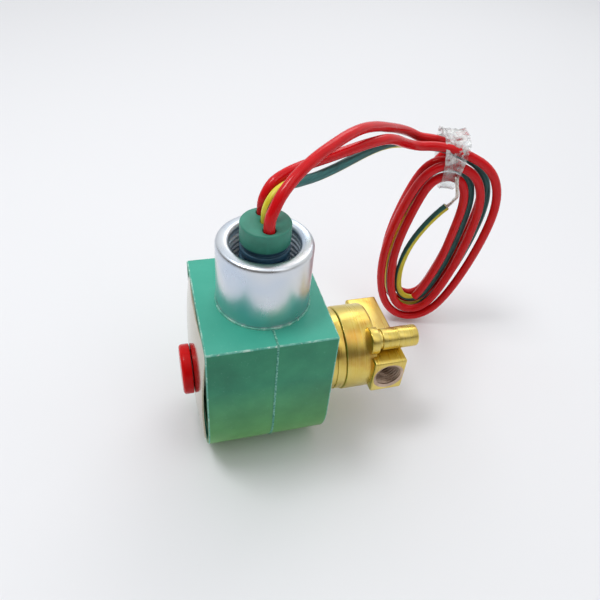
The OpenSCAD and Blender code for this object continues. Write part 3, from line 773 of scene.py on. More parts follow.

# %% Which faces are seam, worn edge with painted highlight, or plain
plain_index, highlit_worn_index, seam_index = 0, 1, 2
hair, near_by = 0.01, 0.1
highlit_worn_band = 0.5
tilted = 0.1
# Edge faces and the flash round the hub get the finish of rubbing with a painted highlight.
for face in coil.data.polygons:
    place, n = (face.center - solenoid) / MM, face.normal
    beyond = max(abs(place.y) - coil_width / 2, place.z - coil_top,
                 math.hypot(place.y, min(0, place.z - round_centre)) - coil_width / 2)
    on_long_edge = place.z > round_centre and abs(n.y) > tilted and abs(n.z) > tilted
    slanted = tilted < abs(n.x) < square_on or on_long_edge
    around_hub = math.hypot(place.x - hub_x, place.y) < flash_r + near_by
    inside = math.hypot(place.y, place.z) < wound_r + near_by
    on_seam = abs(place.x - hub_x) < seam_width / 2 + hair
    if beyond > hair and on_seam and not around_hub:
        face.material_index = seam_index
    elif (beyond > hair and around_hub) or (beyond > -highlit_worn_band and slanted and not inside):
        face.material_index = highlit_worn_index
    else:
        face.material_index = plain_index
highlit_worn_count = sum(face.material_index == highlit_worn_index for face in coil.data.polygons)
print("coil:", highlit_worn_count, "faces are worn edges")

# %% [markdown]
# ## Nameplate
# A thin bright plate lies in the front recess. It is dished: its corners rest in
# the recess, its middle meets the cap and its long sides stand off with a dark gap.
# A slice of a large ball's shell, cut to the coil's outline, has that shape. It is bare.

# %% Nameplate
plate_thick, plate_gap, dish_depth, dish_clear = 0.5, 0.5, 3.1, 0.1
plate_edge, plate_smoothing = 0.1, 40
plate_inset = lip_width + plate_gap
plate_corner = math.hypot(coil_width / 2 - plate_inset, coil_top - plate_inset)
dish_r = (plate_corner ** 2 + dish_depth ** 2) / (2 * dish_depth)
dish_x = lip_depth - dish_clear - dish_depth + dish_r
shell_r, shell_steps = plate_corner + 2 * past, 48
cut_from, cut_length = -10, 16
hole_from, hole_to = -9, 3


def dish_arc(radius):
    reach = [shell_r * i / shell_steps for i in range(shell_steps + 1)]
    return [(r, dish_x - math.sqrt(radius ** 2 - r ** 2)) for r in reach]


shell = dish_arc(dish_r + plate_thick) + dish_arc(dish_r)[::-1]
plate = lathe("plate", shell, axis_foot, along_x, steps=192, closed=False, turned=off_turn)
combine(plate, u_block("plate_cut", plate_inset, cut_from, cut_length), "INTERSECT")
plate_hole = lathe("plate_hole", [
    (0, hole_from), (coil_bore, hole_from), (coil_bore, hole_to), (0, hole_to)],
    axis_foot, along_x, closed=False)
combine(plate, plate_hole, "DIFFERENCE")
ease_edges(plate, plate_edge, degrees=60)
smooth_by_angle(plate, plate_smoothing)
plate_face = dish_x - math.sqrt((dish_r + plate_thick) ** 2 - coil_bore ** 2)
print("plate:", len(plate.data.polygons), "faces, its middle", round(-plate_face, 2), "mm before the coil")

# %% [markdown]
# ## Conduit hub
# The zinc-plated hub is a thick turned sleeve with a rounded rim and a pipe
# thread inside. The bore's wall is drawn with close points, so that the thread
# can be cut into it after the spin.

# %% Hub
bore_r, hub_round = 10.3, 1.4
hub_pitch, hub_thread, thread_start = 1.81, 0.75, 2
wall_step = 0.2
wall_top = hub_rim - hub_round
rim = rounded([(hub_r, hub_foot, 0.3), (hub_r, hub_rim, hub_round), (bore_r, hub_rim, hub_round),
               (bore_r, hub_foot, 0)], steps=7)
bore_wall = wall_points(bore_r, wall_top - wall_step, hub_foot, wall_step)
hub = lathe("hub", rim[:-1] + bore_wall, hub_foot_point, along_z, steps=144)
for face in hub.data.polygons:
    arm = (face.center - hub_foot_point) / MM
    face.material_index = int(math.hypot(arm.x, arm.y) < bore_r + near_by and arm.z < wall_top)
cut = cut_thread(
    hub, hub_foot_point, along_z, bore_r, hub_foot + thread_start, wall_top, hub_pitch, hub_thread)
print("hub:", len(hub.data.polygons), "faces,", cut, "points moved by the thread")

# %% [markdown]
# ## Lead boot
# A soft green boot stands in the hub. Its head is plain, with a rounded edge and
# three lead holes, and its neck has ribs. The ribs are rounded corners of the
# lathe's outline. A mould line runs down the head.

# %% Boot
boot_r, boot_head = 7.4, 6.0
rib_width, rib_depth, rib_count, foot_height = 1.7, 0.9, 4, 2.0
foot_r = bore_r - fit_gap
foot_top = hub_foot + foot_height
boot_marks = [(0, boot_top, 0), (boot_r, boot_top, 0.55)]
level = boot_top - boot_head
for i in range(rib_count):
    boot_marks += [(boot_r, level, 0.3), (boot_r - rib_depth, level, 0.3),
                   (boot_r - rib_depth, level - rib_width, 0.3), (boot_r, level - rib_width, 0.45)]
    level -= 2 * rib_width
boot_marks += [(boot_r, foot_top, 0.3), (foot_r, foot_top, 0.3), (foot_r, hub_foot, 0), (0, hub_foot, 0)]
boot = lathe("boot", rounded(boot_marks, steps=4), hub_foot_point, along_z, steps=144, closed=False)
mould_angle, mould_rise, mould_width, near_wall = math.radians(-100), 0.12, 0.05, 0.2
for v in boot.data.vertices:
    arm = v.co - hub_foot_point
    if arm.xy.length > (boot_r - near_wall) * MM and arm.z > (boot_top - boot_head) * MM:
        off = math.atan2(arm.y, arm.x) - mould_angle
        v.co += Vector((arm.x, arm.y, 0)).normalized() * mould_rise * MM * math.exp(-(off / mould_width) ** 2)
print("boot:", len(boot.data.polygons), "faces before the holes")

# %% Lead holes
hole_gap, mouth_gap, mouth_flare, mouth_depth = 0.02, 0.12, 0.4, 0.3
boot_smoothing = 35
socket_floor, hole_top = boot_top - socket_depth, boot_top + fit_gap
for name, lead in leads.items():
    hole_r = (ground_dia if name == "ground" else red_dia) / MM / 2
    hole = lathe("hole", [
        (0, socket_floor), (hole_r + hole_gap, socket_floor), (hole_r + mouth_gap, boot_top - mouth_depth),
        (hole_r + mouth_flare, hole_top), (0, hole_top)],
        at(hub_x, lead["side"] * lead_pitch, 0), along_z, steps=48, closed=False, turned=off_turn)
    combine(boot, hole, "DIFFERENCE")
smooth_by_angle(boot, boot_smoothing)
print("boot:", len(boot.data.polygons), "faces")

# %% [markdown]
# ## Cap and washer
# The red cap is pushed on the end of the core tube and holds the coil. The dished
# washer behind the coil keeps it from rattling. Both are turned outlines.

# %% Cap and washer
cap_r, cap_gap = 8.3, 0.15
cap_front, cap_back = span("retaining_cap", "x")[0], plate_face - cap_gap
cap_dimple, cap_dimple_r, cap_bore = 0.12, 4.5, 4.05
cap_floor = span("plugnut", "x")[0] - fit_gap
cap = lathe("cap", rounded([
    (0, cap_front + cap_dimple, 0), (cap_dimple_r, cap_front, 3), (cap_r, cap_front, 1.1),
    (cap_r, cap_back, 0.25), (cap_bore, cap_back, 0.1), (cap_bore, cap_floor, 0),
    (0, cap_floor, 0)], steps=7),
    axis_foot, along_x, steps=128, closed=False)
washer_r, washer_bore, washer_thick, washer_edge = 13.0, 6.8, 0.5, 0.12
washer_in, washer_back = span("spring_washer", "x")
washer = lathe("washer", rounded([
    (washer_bore, washer_in, washer_edge), (washer_r, washer_back - washer_thick, washer_edge),
    (washer_r, washer_back, washer_edge), (washer_bore, washer_in + washer_thick, washer_edge)], steps=3),
    axis_foot, along_x, steps=128)
print("cap:", len(cap.data.polygons), "faces, washer:", len(washer.data.polygons), "faces")

# %% [markdown]
# ## Brass bonnet and stub
# The bonnet's flange has a turned line, and so has the plain stub on the
# barrel's end. Small roundings stand for the edges that a turning tool leaves.

# %% Bonnet
bonnet_from, spigot_end = span("bonnet", "x")
body_from = span("valve_body", "x")[0]
bonnet_r, spigot_r, tube_bore, core_bore = 14.1, 11.0, 6.55, 5.9
tube_floor = span("core_tube", "x")[1] + fit_gap
groove_from, groove_width, groove_depth = 43.8, 0.5, 0.4
groove_to, groove_r = groove_from + groove_width, bonnet_r - groove_depth
bonnet = lathe("bonnet_ring", rounded([
    (tube_bore, bonnet_from, 0.2), (bonnet_r, bonnet_from, 0.6), (bonnet_r, groove_from, 0.12),
    (groove_r, groove_from, 0.1), (groove_r, groove_to, 0.1), (bonnet_r, groove_to, 0.12),
    (bonnet_r, body_from, 0.25), (spigot_r, body_from, 0), (spigot_r, spigot_end, 0.3),
    (core_bore, spigot_end, 0.2), (core_bore, tube_floor, 0), (tube_bore, tube_floor, 0)], steps=4),
    axis_foot, along_x, steps=144)
print("bonnet:", len(bonnet.data.polygons), "faces")

# %% Stub
stub_from, stub_end = span("end_stub", "x")
stub_y, stub_z, stub_r = -9.0, 10.85, 3.7
stub_foot = at(0, stub_y, stub_z)
barrel_end = 58.2
neck_from, neck_to, neck_r = barrel_end + 0.5, barrel_end + 1.25, stub_r - 0.5
line_from, line_to, line_r = barrel_end + 6.7, barrel_end + 7, stub_r - 0.15
stub = lathe("stub", rounded([
    (0, stub_from, 0), (stub_r, stub_from, 0), (stub_r, neck_from, 0.15), (neck_r, neck_from, 0.15),
    (neck_r, neck_to, 0.15), (stub_r, neck_to, 0.3), (stub_r, line_from, 0.08), (line_r, line_from, 0.05),
    (line_r, line_to, 0.05), (stub_r, line_to, 0.08), (stub_r, stub_end, 0.7), (0, stub_end, 0)], steps=4),
    stub_foot, along_x, steps=96, closed=False)
print("stub:", len(stub.data.polygons), "faces")

# %% [markdown]
# ## Valve body
# The body is turned and then milled: a barrel with its chamber and seat, and a
# bar with a tapped port at each end. Barrel, bar and boss are joined, and then
# two tapped plugs and the drilled passages are cut out.

# %% Barrel
barrel_r, chamber_r, chamber_floor = 14.6, 11.05, 55.2
gasket_r, gasket_floor = 12.7, body_from + 1.7
seat_r, seat_face = 2.6, 54.2
body = lathe("body", rounded([
    (0, seat_face, 0), (seat_r, seat_face, 0.1), (seat_r, chamber_floor, 0), (chamber_r, chamber_floor, 0),
    (chamber_r, gasket_floor, 0), (gasket_r, gasket_floor, 0), (gasket_r, body_from, 0),
    (barrel_r, body_from, 0.5), (barrel_r, barrel_end, 0.9), (0, barrel_end, 0)], steps=4),
    axis_foot, along_x, steps=144, closed=False)
print("barrel:", len(body.data.polygons), "faces")

# %% Bar and boss
port_half = span("valve_body", "y")[1]
bar_from, bar_width, bar_height, bar_round, bar_edge = 56.0, 11.6, 13.8, 0.9, 0.25
pick_none()
bpy.ops.mesh.primitive_cube_add(size=1, location=at(bar_from + bar_width / 2, 0, 0))
bar = bpy.context.object
bar.name = "bar"
bar.scale = Vector((bar_width, 2 * port_half, bar_height)) * MM
bpy.ops.object.transform_apply(location=True, rotation=True, scale=True)
for edge in bar.data.edges:
    a, b = (bar.data.vertices[i].co for i in edge.vertices)
    edge.select = abs(a.y - b.y) > port_half * MM
bpy.ops.object.mode_set(mode="EDIT")
bpy.ops.mesh.select_mode(type="EDGE")
bpy.ops.mesh.bevel(offset=bar_round * MM, segments=5, profile=0.5)
bpy.ops.object.mode_set(mode="OBJECT")
ease_edges(bar, bar_edge, segments=3, degrees=50)
combine(body, bar, "UNION")
boss_r, boss_end = stub_r + 0.9, barrel_end - fit_gap
boss_from = boss_end - 2.9
boss = lathe("boss", rounded([
    (0, boss_from, 0), (boss_r, boss_from, 0.3), (boss_r, boss_end, 0.3), (0, boss_end, 0)], steps=4),
    stub_foot, along_x, steps=72, closed=False)
combine(body, boss, "UNION")
print("body:", len(body.data.polygons), "faces before the holes")

# %% Ports
port_x, port_r, port_depth, port_chamfer = 61.8, 4.5, 9.0, 0.5
port_pitch, port_thread, port_step, port_tip, skin = 0.94, 0.4, 0.16, 0.6, 0.001
port_middle = at(port_x, 0, 0)
port_floor = port_half - port_depth
thread_from, thread_to = port_floor + 0.1, port_half - port_chamfer
mouth_r = port_r + 2 * port_chamfer
tap_outline = [(0, port_floor - port_tip), (port_r, port_floor)]
tap_outline += wall_points(port_r, thread_from, thread_to, port_step)
tap_outline += [(mouth_r, port_half + skin), (mouth_r, port_half + past), (0, port_half + past)]
for side in (-1, 1):
    outwards = Vector((0, side, 0))
    tap = lathe("tap", tap_outline, port_middle, outwards, steps=72, closed=False)
    cut_thread(tap, port_middle, outwards, port_r, thread_from, thread_to, port_pitch, port_thread)
    combine(body, tap, "DIFFERENCE")
print("body:", len(body.data.polygons), "faces with its ports")

# %% Passages and the stub's hole
passage_r, passage_in, orifice_r, stub_hole_depth = 1.5, 1.7, 1.2, 2
body_smoothing = 30
drills = [
    (at(0, -(port_floor + passage_in), 0), along_x, passage_r, chamber_floor - past, port_x),
    (axis_foot, along_x, orifice_r, seat_face - past, port_x),
    (port_middle, along_y, passage_r, -passage_r, port_floor + past),
    (stub_foot, along_x, stub_r + fit_gap, barrel_end - stub_hole_depth, barrel_end + past)]
for place, axis, r, start, end in drills:
    drill_outline = [(0, start), (r, start), (r, end), (0, end)]
    drill = lathe("drill", drill_outline, place, axis, steps=48, closed=False, turned=off_turn)
    combine(body, drill, "DIFFERENCE")
smooth_by_angle(body, body_smoothing)
for face in body.data.polygons:
    place = (face.center - port_middle) / MM
    in_port = math.hypot(place.x, place.z) < mouth_r
    face.material_index = int(in_port and port_floor - past < abs(place.y) < port_half - near_by)
print("body:", len(body.data.polygons), "faces with its holes")

# %% [markdown]
# ## Core spring
# The spring that shuts the valve is hidden in the core's pocket. It is swept along a helix with the same tool
# as the leads.

# %% Spring
spring_wire, spring_r, spring_curls = 0.7, 2.5, 7
spring_steps, spring_sides = 24, 10
plugnut_end, core_start, pocket_depth, spring_gap = 17.5, 19.2, 12, 0.4
spring_from, spring_to = plugnut_end + spring_gap, core_start + pocket_depth - spring_gap
spring_room = spring_to - spring_from
spring_line = []
for i in range(spring_steps * spring_curls + 1):
    share = i / (spring_steps * spring_curls)
    angle = 2 * math.pi * spring_curls * share
    spring_line.append(at(spring_from + spring_room * share,
                          spring_r * math.cos(angle), spring_r * math.sin(angle)))
spring = sweep("spring", spring_line, spring_wire / 2 * MM, spring_sides, lambda share: Vector(along_x))
print("spring:", spring_curls, "curls,", round(line_length(spring_line) / MM), "mm of wire")

# %% [markdown]
# ## Finishes
# Every finish of the valve is a Principled shader with its own small patterns on
# top: a colour that varies a little and, on most, a roughness that varies and a bump
# at the scale of the real surface. Image textures would need files, so all patterns
# are procedural. They read Object coordinates, which are metres on the valve itself,
# or the UV map of a lead.

# %% A new finish
def finish(name, colour, roughness, metallic=0.0, **more):
    """A new material, its node tree and its shader."""
    material = bpy.data.materials.new(name)
    material.use_nodes = True
    tree = material.node_tree
    shader = tree.nodes["Principled BSDF"]
    shader.inputs["Base Color"].default_value = (*colour, 1)
    shader.inputs["Roughness"].default_value = roughness
    shader.inputs["Metallic"].default_value = metallic
    for socket, value in more.items():
        shader.inputs[socket.replace("_", " ")].default_value = value
    return material, tree, shader


def tell(*materials):
    print(", ".join(f"{material.name}: {len(material.node_tree.nodes)} nodes" for material in materials))


def add(tree, kind, **sockets):
    node = tree.nodes.new("ShaderNode" + kind)
    for socket, value in sockets.items():
        node.inputs[socket.replace("_", " ")].default_value = value
    return node


# %% Places and patterns
even = (1, 1, 1)


def places(tree, stretch=even, uv=None):
    """Object coordinates, or the named UV map, stretched along an axis."""
    source = tree.nodes.new("ShaderNodeUVMap" if uv else "ShaderNodeTexCoord")
    if uv:
        source.uv_map = uv
    mapping = add(tree, "Mapping", Scale=stretch)
    tree.links.new(source.outputs["UV" if uv else "Object"], mapping.inputs["Vector"])
    return mapping.outputs["Vector"]


def noise_at(tree, where, scale, detail=4.0, roughness=0.55):
    node = add(tree, "TexNoise", Scale=scale, Detail=detail, Roughness=roughness)
    tree.links.new(where, node.inputs["Vector"])
    return node.outputs["Fac"]


def part_of(tree, vector, axis):
    """One of a vector's three numbers."""
    node = tree.nodes.new("ShaderNodeSeparateXYZ")
    tree.links.new(vector, node.inputs[0])
    return node.outputs[axis]


def height_share(tree, where, start, end):
    """Runs from 0 to 1 between two heights over the solenoid axis, in millimetres."""
    node = add(tree, "MapRange", From_Min=solenoid.z + start * MM, From_Max=solenoid.z + end * MM)
    tree.links.new(part_of(tree, where, "Z"), node.inputs["Value"])
    return node.outputs[0]


# %% Mixing
def ramp(tree, value, stops):
    """Colours or greys at positions from 0 to 1."""
    node = tree.nodes.new("ShaderNodeValToRGB")
    elements = node.color_ramp.elements
    while len(elements) < len(stops):
        elements.new(0.5)
    for element, (position, colour) in zip(elements, stops):
        element.position = position
        element.color = (*colour, 1) if isinstance(colour, tuple) else (colour, colour, colour, 1)
    tree.links.new(value, node.inputs["Fac"])
    return node.outputs["Color"]


def blend_colours(tree, share, first, second):
    """Mixes two colours. Several sockets of a Mix node share a name, so they are found by number."""
    node = tree.nodes.new("ShaderNodeMix")
    node.data_type = "RGBA"
    for socket, value in ((node.inputs[0], share), (node.inputs[6], first), (node.inputs[7], second)):
        if isinstance(value, tuple):
            socket.default_value = (*value, 1)
        else:
            tree.links.new(value, socket)
    return node.outputs[2]


def math_node(tree, operation, first, second=0.0):
    node = tree.nodes.new("ShaderNodeMath")
    node.operation = operation
    for socket, value in zip(node.inputs, (first, second)):
        if isinstance(value, (int, float)):
            socket.default_value = value
        else:
            tree.links.new(value, socket)
    return node.outputs[0]


# %% Colour, roughness and bump of a shader
def colour_by(tree, shader, colour):
    tree.links.new(colour, shader.inputs["Base Color"])


def rough_by(tree, shader, value, smooth, rough):
    tree.links.new(ramp(tree, value, [(0.25, smooth), (0.75, rough)]), shader.inputs["Roughness"])


def roughen(tree, shader, height, strength, distance):
    node = add(tree, "Bump", Strength=strength, Distance=distance * MM)
    tree.links.new(height, node.inputs["Height"])
    tree.links.new(node.outputs["Normal"], shader.inputs["Normal"])


def mottled(name, colour, roughness, metallic, pattern, tones, **more):
    """A finish whose colour follows one noise, given as its stretch, scale and detail."""
    material, tree, shader = finish(name, colour, roughness, metallic, **more)
    stretch, scale, detail = pattern
    value = noise_at(tree, places(tree, stretch), scale, detail)
    colour_by(tree, shader, ramp(tree, value, tones))
    return material, tree, shader, value


# %% [markdown]
# ## Green epoxy
# Cast epoxy is a slightly glossy, speckled green with soft clouds of paler tone.
# Painted light makes the top paler than the sides, which carry painted shade and turn a paler olive towards
# the bottom, a painted glow of light from the floor.
# The rounded edges carry a painted highlight and real rubbing with small chips, which a second finish gives
# to the edge faces. A third one breaks up the mould's seam.

# %% Epoxy
epoxy, tree, shader = finish("epoxy", (0.05, 0.36, 0.26), 0.38, Specular_IOR_Level=0.28)
olive_from, olive_to, olive_share = 12.0, -18.0, 0.8
speck_share, speck_colour = 0.25, (0.18, 0.50, 0.40)
where = places(tree)
clouds = noise_at(tree, where, 60, 4)
specks = noise_at(tree, where, 1500, 2)
# The top's tone is painted light from above; the darker side tones below are painted shade.
lit_top_tone = ramp(tree, clouds, [
    (0.3, (0.046, 0.365, 0.265)), (0.5, (0.053, 0.400, 0.292)), (0.72, (0.067, 0.445, 0.330))])
plain = ramp(tree, clouds, [
    (0.34, (0.024, 0.195, 0.110)), (0.5, (0.032, 0.245, 0.136)), (0.66, (0.045, 0.300, 0.162))])
# Paler olive low on the sides: a painted glow of light from the floor.
floor_glow_tone = ramp(tree, clouds, [(0.34, (0.110, 0.340, 0.062)), (0.66, (0.180, 0.460, 0.100))])
floor_glow_mask = math_node(tree, "MULTIPLY", height_share(tree, where, olive_from, olive_to), olive_share)
shaded_side_and_glow = blend_colours(tree, floor_glow_mask, plain, floor_glow_tone)
normal = tree.nodes.new("ShaderNodeTexCoord").outputs["Normal"]
# Faces that look up take the painted lit tone.
lit_top_share = ramp(tree, part_of(tree, normal, "Z"), [(0.3, 0.0), (0.8, 1.0)])
tone = blend_colours(tree, lit_top_share, shaded_side_and_glow, lit_top_tone)
speck_tone = math_node(tree, "MULTIPLY", ramp(tree, specks, [(0.66, 0.0), (0.74, 1.0)]), speck_share)
colour_by(tree, shader, blend_colours(tree, speck_tone, tone, speck_colour))
rough_by(tree, shader, clouds, 0.32, 0.44)
roughen(tree, shader, noise_at(tree, where, 700, 3), 0.15, 0.10)
tell(epoxy)

# %% Worn edge with painted highlight, and seam
# Pale edge tones: painted highlight on the rounded edges, with real rubbing and small chips.
highlit_worn, tree, shader = finish("highlit_worn_edge", (0.32, 0.60, 0.50), 0.5)
chip_share, chip_colour = 0.6, (0.82, 0.90, 0.84)
where = places(tree)
rub = noise_at(tree, where, 260, 6, 0.7)
chips = noise_at(tree, where, 900, 3)
rubbed_and_highlit = ramp(tree, rub, [
    (0.38, (0.05, 0.34, 0.25)), (0.52, (0.15, 0.48, 0.38)), (0.66, (0.50, 0.72, 0.62))])
chipped = math_node(tree, "MULTIPLY", ramp(tree, chips, [(0.60, 0.0), (0.68, 1.0)]), chip_share)
colour_by(tree, shader, blend_colours(tree, chipped, rubbed_and_highlit, chip_colour))
roughen(tree, shader, chips, 0.5, 0.15)

seam, tree, shader = finish("mould_seam", (0.20, 0.50, 0.40), 0.5)
torn = noise_at(tree, places(tree), 1800, 4, 0.7)
colour_by(tree, shader, ramp(tree, torn, [
    (0.38, (0.022, 0.17, 0.12)), (0.50, (0.07, 0.36, 0.26)), (0.62, (0.26, 0.56, 0.45))]))
roughen(tree, shader, torn, 0.6, 0.2)
tell(highlit_worn, seam)

# %% [markdown]
# ## Plated zinc, bright plate and steel
# Zinc plating is bright and faintly blue and yellow in patches, and duller in the
# hub's bore. The nameplate is brushed along one direction. Plain steel parts share
# one turned finish.

# %% Zinc
zinc, tree, shader, _ = mottled("zinc", (0.70, 0.73, 0.78), 0.3, 1.0, (even, 45, 2), [
    (0.30, (0.54, 0.63, 0.75)), (0.5, (0.68, 0.71, 0.75)), (0.72, (0.77, 0.75, 0.66))])
rough_by(tree, shader, noise_at(tree, places(tree, (1, 1, 0.3)), 260, 3), 0.25, 0.34)
roughen(tree, shader, noise_at(tree, places(tree), 500, 2), 0.03, 0.04)

dull_zinc, tree, shader, film = mottled("dull_zinc", (0.80, 0.86, 0.95), 0.45, 0.5, (even, 70, 3), [
    (0.3, (0.62, 0.75, 0.92)), (0.7, (0.86, 0.92, 0.98))])
rough_by(tree, shader, film, 0.38, 0.52)
tell(zinc, dull_zinc)

# %% Bright plate and steel
bright, tree, shader, brushed = mottled(
    "bright_plate", (0.43, 0.40, 0.31), 0.14, 1.0, ((1, 1, 30), 160, 4), [
        (0.3, (0.36, 0.32, 0.22)), (0.6, (0.47, 0.44, 0.35))])
rough_by(tree, shader, brushed, 0.08, 0.18)
roughen(tree, shader, brushed, 0.08, 0.04)

steel, tree, shader, turned = mottled(
    "turned_steel", (0.60, 0.61, 0.63), 0.3, 1.0, ((40, 1, 1), 90, 3), [
        (0.3, (0.48, 0.49, 0.51)), (0.7, (0.68, 0.69, 0.71))])
rough_by(tree, shader, turned, 0.22, 0.42)
tell(bright, steel)

# %% [markdown]
# ## Brass
# The brass is turned on a lathe: fine rings run round the solenoid axis. It is warmer and browner in patches,
# partly from handling and partly as a painted orange-brown reflection. The rings are noise that is stretched
# thin along the axis, so they follow every turned face. The ports are tarnished.

# %% Brass
brass, tree, shader = finish("brass", (0.70, 0.50, 0.12), 0.3, 1.0)
ring_share, ring_colour = 0.3, (0.80, 0.69, 0.30)
rings = noise_at(tree, places(tree, (45, 0.6, 0.6)), 60, 4)
# Browner patches: partly handling tarnish, partly a painted orange-brown reflection.
patina_and_reflection = noise_at(tree, places(tree), 70, 4)
warm_tarnish_and_reflection = ramp(tree, patina_and_reflection, [
    (0.32, (0.58, 0.31, 0.05)), (0.45, (0.68, 0.50, 0.10)), (0.72, (0.76, 0.63, 0.20))])
ringed = math_node(tree, "MULTIPLY", ramp(tree, rings, [(0.35, 0.0), (0.7, 1.0)]), ring_share)
colour_by(tree, shader, blend_colours(tree, ringed, warm_tarnish_and_reflection, ring_colour))
rough_by(tree, shader, rings, 0.24, 0.37)
roughen(tree, shader, rings, 0.06, 0.04)

tarnish, tree, shader, film = mottled("tarnished_brass", (0.56, 0.42, 0.32), 0.45, 1.0, (even, 320, 4), [
    (0.3, (0.42, 0.30, 0.23)), (0.7, (0.72, 0.56, 0.44))])
rough_by(tree, shader, film, 0.38, 0.55)
tell(brass, tarnish)

# %% [markdown]
# ## Plastics and rubber
# The cap is glossy moulded plastic. The boot is softer and duller, and low in the hub it has painted shade
# with a painted bluish reflection of the zinc. Bobbin and rubber are hidden but finished too.

# %% Cap and boot
cap_red, tree, shader, swirl = mottled(
    "cap_red", (0.62, 0.004, 0.005), 0.22, 0.0, (even, 160, 4), [
        (0.3, (0.54, 0.003, 0.004)), (0.7, (0.68, 0.006, 0.007))],
    Specular_IOR_Level=0.10, Coat_Weight=0.03, Coat_Roughness=0.06)
rough_by(tree, shader, swirl, 0.14, 0.26)
roughen(tree, shader, noise_at(tree, places(tree), 600, 2), 0.08, 0.06)

boot_green, tree, shader = finish("boot_green", (0.03, 0.27, 0.20), 0.46)
neck_top, neck_fade = boot_top - boot_head, 1.0
where = places(tree)
clouds = noise_at(tree, where, 220, 4)
head_tone = ramp(tree, clouds, [(0.3, (0.026, 0.200, 0.138)), (0.7, (0.044, 0.280, 0.198))])
# Low in the hub the neck is painted shade, tinted blue as a painted reflection of the zinc.
neck_shade_and_reflection = ramp(tree, clouds, [(0.3, (0.012, 0.055, 0.10)), (0.7, (0.025, 0.10, 0.16))])
on_head = height_share(tree, where, neck_top - neck_fade, neck_top)
colour_by(tree, shader, blend_colours(tree, on_head, neck_shade_and_reflection, head_tone))
rough_by(tree, shader, clouds, 0.38, 0.56)
roughen(tree, shader, noise_at(tree, where, 1300, 2), 0.18, 0.06)
tell(cap_red, boot_green)

# %% Rubber and bobbin
rubber, tree, shader, dust = mottled("rubber", (0.02, 0.02, 0.022), 0.6, 0.0, (even, 500, 4), [
    (0.35, (0.012, 0.012, 0.013)), (0.7, (0.04, 0.04, 0.042))])
roughen(tree, shader, dust, 0.2, 0.08)

bobbin_white, tree, shader, flow = mottled("bobbin_plastic", (0.72, 0.69, 0.58), 0.45, 0.0, (even, 180, 4), [
    (0.3, (0.64, 0.61, 0.50)), (0.7, (0.78, 0.75, 0.65))])
roughen(tree, shader, flow, 0.1, 0.1)
tell(rubber, bobbin_white)

# %% [markdown]
# ## Copper
# The winding is many turns of enamelled wire. A wave pattern along the axis gives
# its lines, both as a tone and as a bump. The shading ring has the same copper.

# %% Copper
copper, tree, shader = finish("copper", (0.66, 0.30, 0.13), 0.32, 1.0)
wave = add(tree, "TexWave", Scale=700.0, Distortion=0.4)
wave.bands_direction = "X"
tree.links.new(places(tree), wave.inputs["Vector"])
wires = wave.outputs["Fac"]
colour_by(tree, shader, ramp(tree, wires, [(0.2, (0.40, 0.15, 0.06)), (0.7, (0.74, 0.36, 0.17))]))
roughen(tree, shader, wires, 0.4, 0.1)
tell(copper)

# %% [markdown]
# ## Lead insulation
# The leads have smooth extruded insulation with faint lengthwise streaks, which
# follow the UV map. The ground lead is teal with a yellow stripe on one side,
# which the UV map's second number paints: one half is the side that it faces.

# %% Red insulation
lengthwise = (1, 5, 1)
streak_scale, streak_detail = 2.2, 4
lead_red, tree, shader = finish("lead_red", (0.64, 0.005, 0.009), 0.16, Specular_IOR_Level=0.26)
streaks = noise_at(tree, places(tree, lengthwise, "around"), streak_scale, streak_detail)
colour_by(tree, shader, ramp(tree, streaks, [
    (0.3, (0.57, 0.004, 0.007)), (0.55, (0.64, 0.005, 0.009)), (0.8, (0.70, 0.012, 0.016))]))
rough_by(tree, shader, streaks, 0.12, 0.19)
roughen(tree, shader, noise_at(tree, places(tree), 900, 3), 0.1, 0.05)
tell(lead_red)

# %% Striped insulation
stripe_half, stripe_blur, stripe_wobble = 0.18, 0.02, 0.03
lead_green, tree, shader = finish("lead_green", (0.02, 0.17, 0.16), 0.36, Specular_IOR_Level=0.4)
around = places(tree, even, "around")
off_middle = math_node(tree, "ABSOLUTE", math_node(tree, "SUBTRACT", part_of(tree, around, "Y"), 0.5))
wobble = math_node(tree, "MULTIPLY", noise_at(tree, around, 1.4, 2), stripe_wobble)
stripe = ramp(tree, math_node(tree, "ADD", off_middle, wobble), [
    (stripe_half, 1.0), (stripe_half + stripe_blur, 0.0)])
streaks = noise_at(tree, places(tree, lengthwise, "around"), streak_scale, streak_detail)
teal = ramp(tree, streaks, [(0.3, (0.010, 0.085, 0.085)), (0.7, (0.03, 0.20, 0.19))])
yellow = ramp(tree, streaks, [(0.3, (0.62, 0.56, 0.02)), (0.7, (0.82, 0.76, 0.06))])
colour_by(tree, shader, blend_colours(tree, stripe, teal, yellow))
rough_by(tree, shader, streaks, 0.3, 0.44)
roughen(tree, shader, noise_at(tree, places(tree), 900, 3), 0.1, 0.05)

tinned, tree, shader, dull = mottled("tinned_copper", (0.74, 0.71, 0.67), 0.28, 1.0, (even, 1200, 3), [
    (0.3, (0.58, 0.54, 0.50)), (0.7, (0.84, 0.82, 0.79))])
rough_by(tree, shader, dull, 0.2, 0.4)
tell(lead_green, tinned)

# %% [markdown]
# ## The tape's film
# The tape is clear and glossy, and milky where it is creased, most of all at its
# head. A glass shader alone would vanish on a pale floor, so noise mixes a little
# white into it.

# %% Tape
clear, tree, shader = finish("clear_tape", (0.92, 0.94, 0.94), 0.12, Transmission_Weight=0.82, IOR=1.4)
milk_margin, foot_milk = 4, 0.12
where = places(tree)
milk = noise_at(tree, where, 380, 4, 0.65)
rise = height_share(tree, where, tie_foot + milk_margin, tie_head - milk_margin)
milky = math_node(tree, "MULTIPLY", ramp(tree, milk, [(0.42, 0.0), (0.62, 1.0)]),
                  ramp(tree, rise, [(0.0, foot_milk), (1.0, 1.0)]))
tree.links.new(ramp(tree, milky, [(0.0, 0.97), (1.0, 0.35)]), shader.inputs["Transmission Weight"])
rough_by(tree, shader, milk, 0.06, 0.3)
roughen(tree, shader, milk, 0.5, 0.3)
tell(clear)
